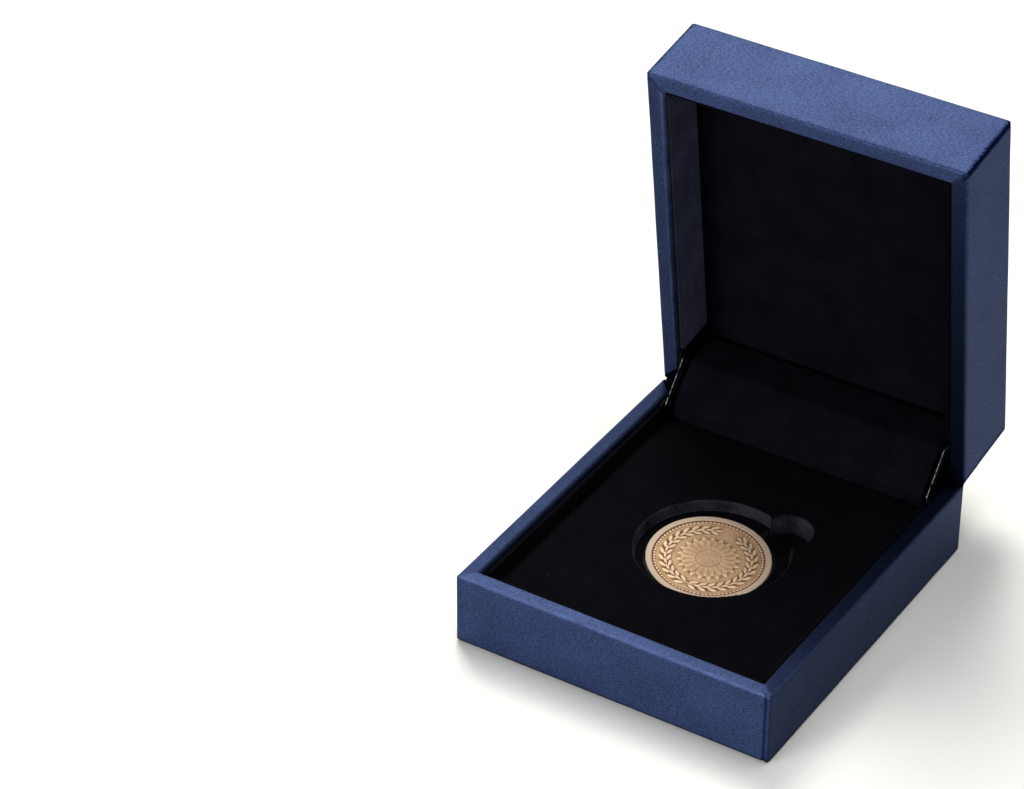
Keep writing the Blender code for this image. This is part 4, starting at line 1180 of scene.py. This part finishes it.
def wreathHeight(x, y):
    values = coinRelief
    height = np.zeros_like(x)
    start, covered = values["branch"]
    veinDepth, veinWidth = values["leafVein"]
    stemHeight, stemWidth, stemEnd = values["stem"]
    for side in (-1, 1):
        for k in range(values["leafPairs"]):
            # both branches start at the foot and end short of the top
            turn = math.radians(-90 + side * (start + covered * k / (values["leafPairs"] - 1)))
            for reach, tilt, length, width, step in values["leafRows"]:
                radius = values["wreathRadius"] + reach
                heading = turn + side * math.radians(90 - tilt)
                spot = turn + step * side
                dx, dy = x - radius * math.cos(spot), y - radius * math.sin(spot)
                u = dx * math.cos(heading) + dy * math.sin(heading)
                v = -dx * math.sin(heading) + dy * math.cos(heading)
                leaf = lens(u, v, length, width)
                vein = veinDepth * np.exp(-(v / veinWidth) ** 2) * (leaf > 0)
                height = np.maximum(height, (leaf ** 0.5) * (0.75 + 0.1 * (reach == 0)) - vein)
        stemAngle = np.degrees(np.arctan2(x * side, -y))
        away = np.abs(np.hypot(x, y) - values["wreathRadius"])
        stem = np.clip(1 - (away / stemWidth) ** 2, 0, 1) * (stemAngle > 0) * (stemAngle < stemEnd)
        height = np.maximum(height, stemHeight * np.sqrt(stem))
    return np.clip(height, 0, 1)


def flowerHeight(x, y):
    values = coinRelief
    radius, angle = np.hypot(x, y), np.arctan2(y, x)
    height = np.zeros_like(x)
    pitch = 2 * math.pi / values["petals"]
    for length, wide, lift, shift in values["petalRings"]:
        local = (angle / pitch + shift) % 1.0 - 0.5
        across = local * pitch * radius
        middle = (values["seedDisc"] + length) / 2
        petal = lens(radius - middle, across, length - values["seedDisc"] + 1.2, wide)
        vein = 0.25 * np.exp(-(across / 0.06) ** 2)
        vein += 0.12 * np.exp(-((np.abs(across) - 0.25) / 0.05) ** 2)
        height = np.maximum(height, lift * petal ** 0.45 - vein * (petal > 0.02) * lift)
    disc = radius < values["seedDisc"]
    dome = 0.62 + 0.25 * np.clip(1 - (radius / values["seedDisc"]) ** 2, 0, 1)
    seeds = np.zeros_like(x)
    golden = math.pi * (3 - math.sqrt(5))
    for k in range(values["seeds"]):
        r = values["seedDisc"] * math.sqrt((k + 0.5) / values["seeds"]) * 0.97
        cx, cy = r * math.cos(k * golden), r * math.sin(k * golden)
        away = (x - cx) ** 2 + (y - cy) ** 2
        seeds = np.maximum(seeds, np.clip(1 - away / values["seedSize"] ** 2, 0, 1))
    return np.where(disc, dome * (0.55 + 0.45 * np.sqrt(seeds)), height)


def faceHeight(x, y):
    values = coinRelief
    coinRadius = values["radius"]
    radius, angle = np.hypot(x, y), np.arctan2(y, x)
    art = np.maximum(wreathHeight(x, y), flowerHeight(x, y))
    pitch = 2 * math.pi / values["beads"]
    local = (angle / pitch) % 1.0 - 0.5
    away = (local * pitch * radius) ** 2 + (radius - values["beadRadius"]) ** 2
    bead = np.clip(1 - away / values["beadSize"] ** 2, 0, 1)
    art = np.maximum(art, 0.8 * np.sqrt(bead))
    rim = eased(np.clip((radius - (coinRadius - values["rimWidth"]) + 0.18) / 0.22, 0, 1))
    outer = np.clip((radius - (coinRadius - values["edgeRadius"])) / values["edgeRadius"], 0, 1)
    return np.maximum(art * values["relief"], rim * values["field"]) - 0.2 * (1 - np.sqrt(1 - outer ** 2))


def makeCoin():
    values = coinRelief
    edge, step = values["edgeRadius"], values["ringStep"]
    flat = values["radius"] - edge
    stops = np.concatenate([np.arange(step, flat, step),
                            values["radius"] - edge * (1 - np.sin(np.linspace(0, math.pi / 2, 7)))])
    angles = np.linspace(0, 2 * math.pi, values["around"], endpoint=False)
    radius, angle = np.meshgrid(stops, angles, indexing="ij")
    x, y = radius * np.cos(angle), radius * np.sin(angle)
    height = faceHeight(x, y)
    # hollows: how far a point lies under the mean of its surroundings
    mean = np.zeros_like(height)
    reach, around = values["hollowReach"]
    window = [(di, dj) for di in range(-reach, reach + 1, 2) for dj in range(-around, around + 1, 3)]
    padded = np.pad(height, ((reach, reach), (0, 0)), mode="edge")
    for di, dj in window:
        mean += np.roll(padded[reach + di:reach + di + len(stops)], dj, axis=1)
    hollow = np.clip(0.5 + (mean / len(window) - height) / values["hollowDepth"], 0, 1)
    rows, columns = x.shape
    top = values["thick"] - values["field"] + height
    layers = [np.column_stack([x.ravel(), y.ravel(), top.ravel()]),
              np.column_stack([x[-1], y[-1], np.full(columns, values["edgeFoot"])])]
    for k in range(rows - 7, -1, -6):
        level = values["backField"] if stops[k] < values["radius"] - values["rimWidth"] else 0.0
        layers.append(np.column_stack([x[k], y[k], np.full(columns, level)]))
    points = np.vstack(layers)
    total = len(points) // columns
    faces = gridFaces(total, columns, closeColumns=True)
    faces += [tuple(reversed(range(columns))), tuple(range((total - 1) * columns, total * columns))]
    points[:, 2] -= values["thick"] / 2
    # it lies as its seat does
    leanX, leanY = (math.radians(a) for a in insert["seatLean"])
    lean = Matrix.Rotation(leanY, 3, "Y") @ Matrix.Rotation(leanX, 3, "X")
    points = points @ np.array(lean).T + np.add(*cadBoxOf("coin")) / 2
    under = len(points) - rows * columns
    onRim = np.clip((radius.ravel() - values["radius"] + values["rimWidth"] + 0.05) / 0.15, 0, 1)
    marks = {"hollow": np.concatenate([hollow.ravel(), np.full(under, 0.5)]),
             "rim": np.concatenate([onRim, np.ones(under)])}
    return makePiece("struckCoin", points, faces, coinBronze, "coin_body", ["coin"], marks=marks)


makeCoin()
print("coin ready")


# CAD pieces whose shape is right get their finish here.
halves, sides = ("base", "lid"), ("left", "right")
finishes = [
    (blackSteel, [f"{half}_hinge_bracket" for half in halves] + [f"stay_{side}" for side in sides]
     + [f"stay_{use}_rivet_{side}" for use in ("pivot", "guide") for side in sides]),
    (pinSteel, [f"{half}_bracket_pin_{side}" for half in halves for side in sides]),
    (blackPaper, [f"{half}_wall_{side}" for half in halves for side in ("front", "back", *sides)]
     + ["base_floor_board", "lid_top_board", "base_bottom_paper"]),
]
for finish, nodes in finishes:
    for node in nodes:
        frame["nodes"][node].data.materials.clear()
        frame["nodes"][node].data.materials.append(finish)
for side in sides:
    # the stays are cut from blackened sheet, so their outer edges are bare
    strip = frame["nodes"][f"stay_{side}"].data
    strip.materials.append(shearedSteel)
    pivot = np.array(joints[f"{side}_stay_turn"]["pos_m"]) / mm
    along = np.array([math.sin(openAngle / 2), math.cos(openAngle / 2)])
    for polygon in strip.polygons:
        spot = (np.array(polygon.center) / mm - pivot)[1:]
        away = abs(spot[0] * along[1] - spot[1] * along[0])
        polygon.material_index = int(abs(polygon.normal.x) < 0.5 and away > 0.7)
print("CAD pieces finished")


# The camera, solved from the straight edges of the open case in the photograph.
cameraFit = {
    "azimuth": 32.048,
    "elevation": 35.052,
    "roll": 0.2825,
    "distance": 690.5,                    # mm
    "target": (7.389, -91.341, 108.141),  # mm
    "focalPixels": 3889.1,
    "imageWidth": 1024,
    "sensor": 36.0,
}


def makeCamera():
    fit = cameraFit
    azimuth, elevation = math.radians(fit["azimuth"]), math.radians(fit["elevation"])
    back = Vector((math.sin(azimuth) * math.cos(elevation), -math.cos(azimuth) * math.cos(elevation),
                   math.sin(elevation)))
    data = bpy.data.cameras.new("camera")
    data.sensor_width = fit["sensor"]
    data.lens = fit["focalPixels"] / fit["imageWidth"] * fit["sensor"]
    data.clip_start, data.clip_end = 0.01, 20
    camera = addObject("camera", data)
    turn = (-back).to_track_quat("-Z", "Y").to_matrix() @ Matrix.Rotation(math.radians(fit["roll"]), 3, "Z")
    place = (Vector(fit["target"]) + back * fit["distance"]) * mm
    camera.matrix_world = Matrix.Translation(place) @ turn.to_4x4()
    bpy.context.scene.camera = camera


def makeStudio():
    # a pale floor, a white surround and soft boxes
    floorMesh = bpy.data.meshes.new("floor")
    reach = 3.0   # metres
    corners = [(x * reach, y * reach, 0) for x, y in ((-1, -1), (1, -1), (1, 1), (-1, 1))]
    floorMesh.from_pydata(corners, [], [(0, 1, 2, 3)])
    floorMesh.materials.append(newMaterial("pale matt paper floor", "#F2F2F0", 0.9)[0])
    floor = addObject("floor", floorMesh)
    floor.visible_diffuse = False
    world = bpy.data.worlds.new("studio")
    world.use_nodes = True
    world.node_tree.nodes["Background"].inputs["Color"].default_value = (1, 1, 1, 1)
    world.node_tree.nodes["Background"].inputs["Strength"].default_value = 0.02
    bpy.context.scene.world = world
    lamps = {
        "backBox": ((-0.68, 0.80, 1.38), 0.8, 28.0),
        "frontBox": ((-0.45, -0.75, 0.45), 0.4, 2.2),
        "lowBox": ((-0.25, -0.9, 0.22), 0.35, 3.5),
        "topBox": ((0.15, 0.1, 0.95), 0.5, 4.4),
        "rightBox": ((0.75, -0.55, 0.30), 0.5, 2.2),
    }
    for name, (place, size, power) in lamps.items():
        data = bpy.data.lights.new(name, "AREA")
        data.size, data.energy = size, power
        # the window side is a little warmer
        data.color = (1.0, 0.99, 0.90) if name == "backBox" else (1, 1, 1)
        lamp = addObject(name, data)
        # the right one fills in the black pile without a reflection in the wrap
        lamp.visible_glossy = name != "rightBox"
        lamp.location = place
        lamp.rotation_euler = (Vector((0, 0, 0.03)) - Vector(place)).to_track_quat("-Z", "Y").to_euler()
    bpy.context.scene.view_settings.view_transform = "Standard"


makeCamera()
makeStudio()
print("camera and studio ready")
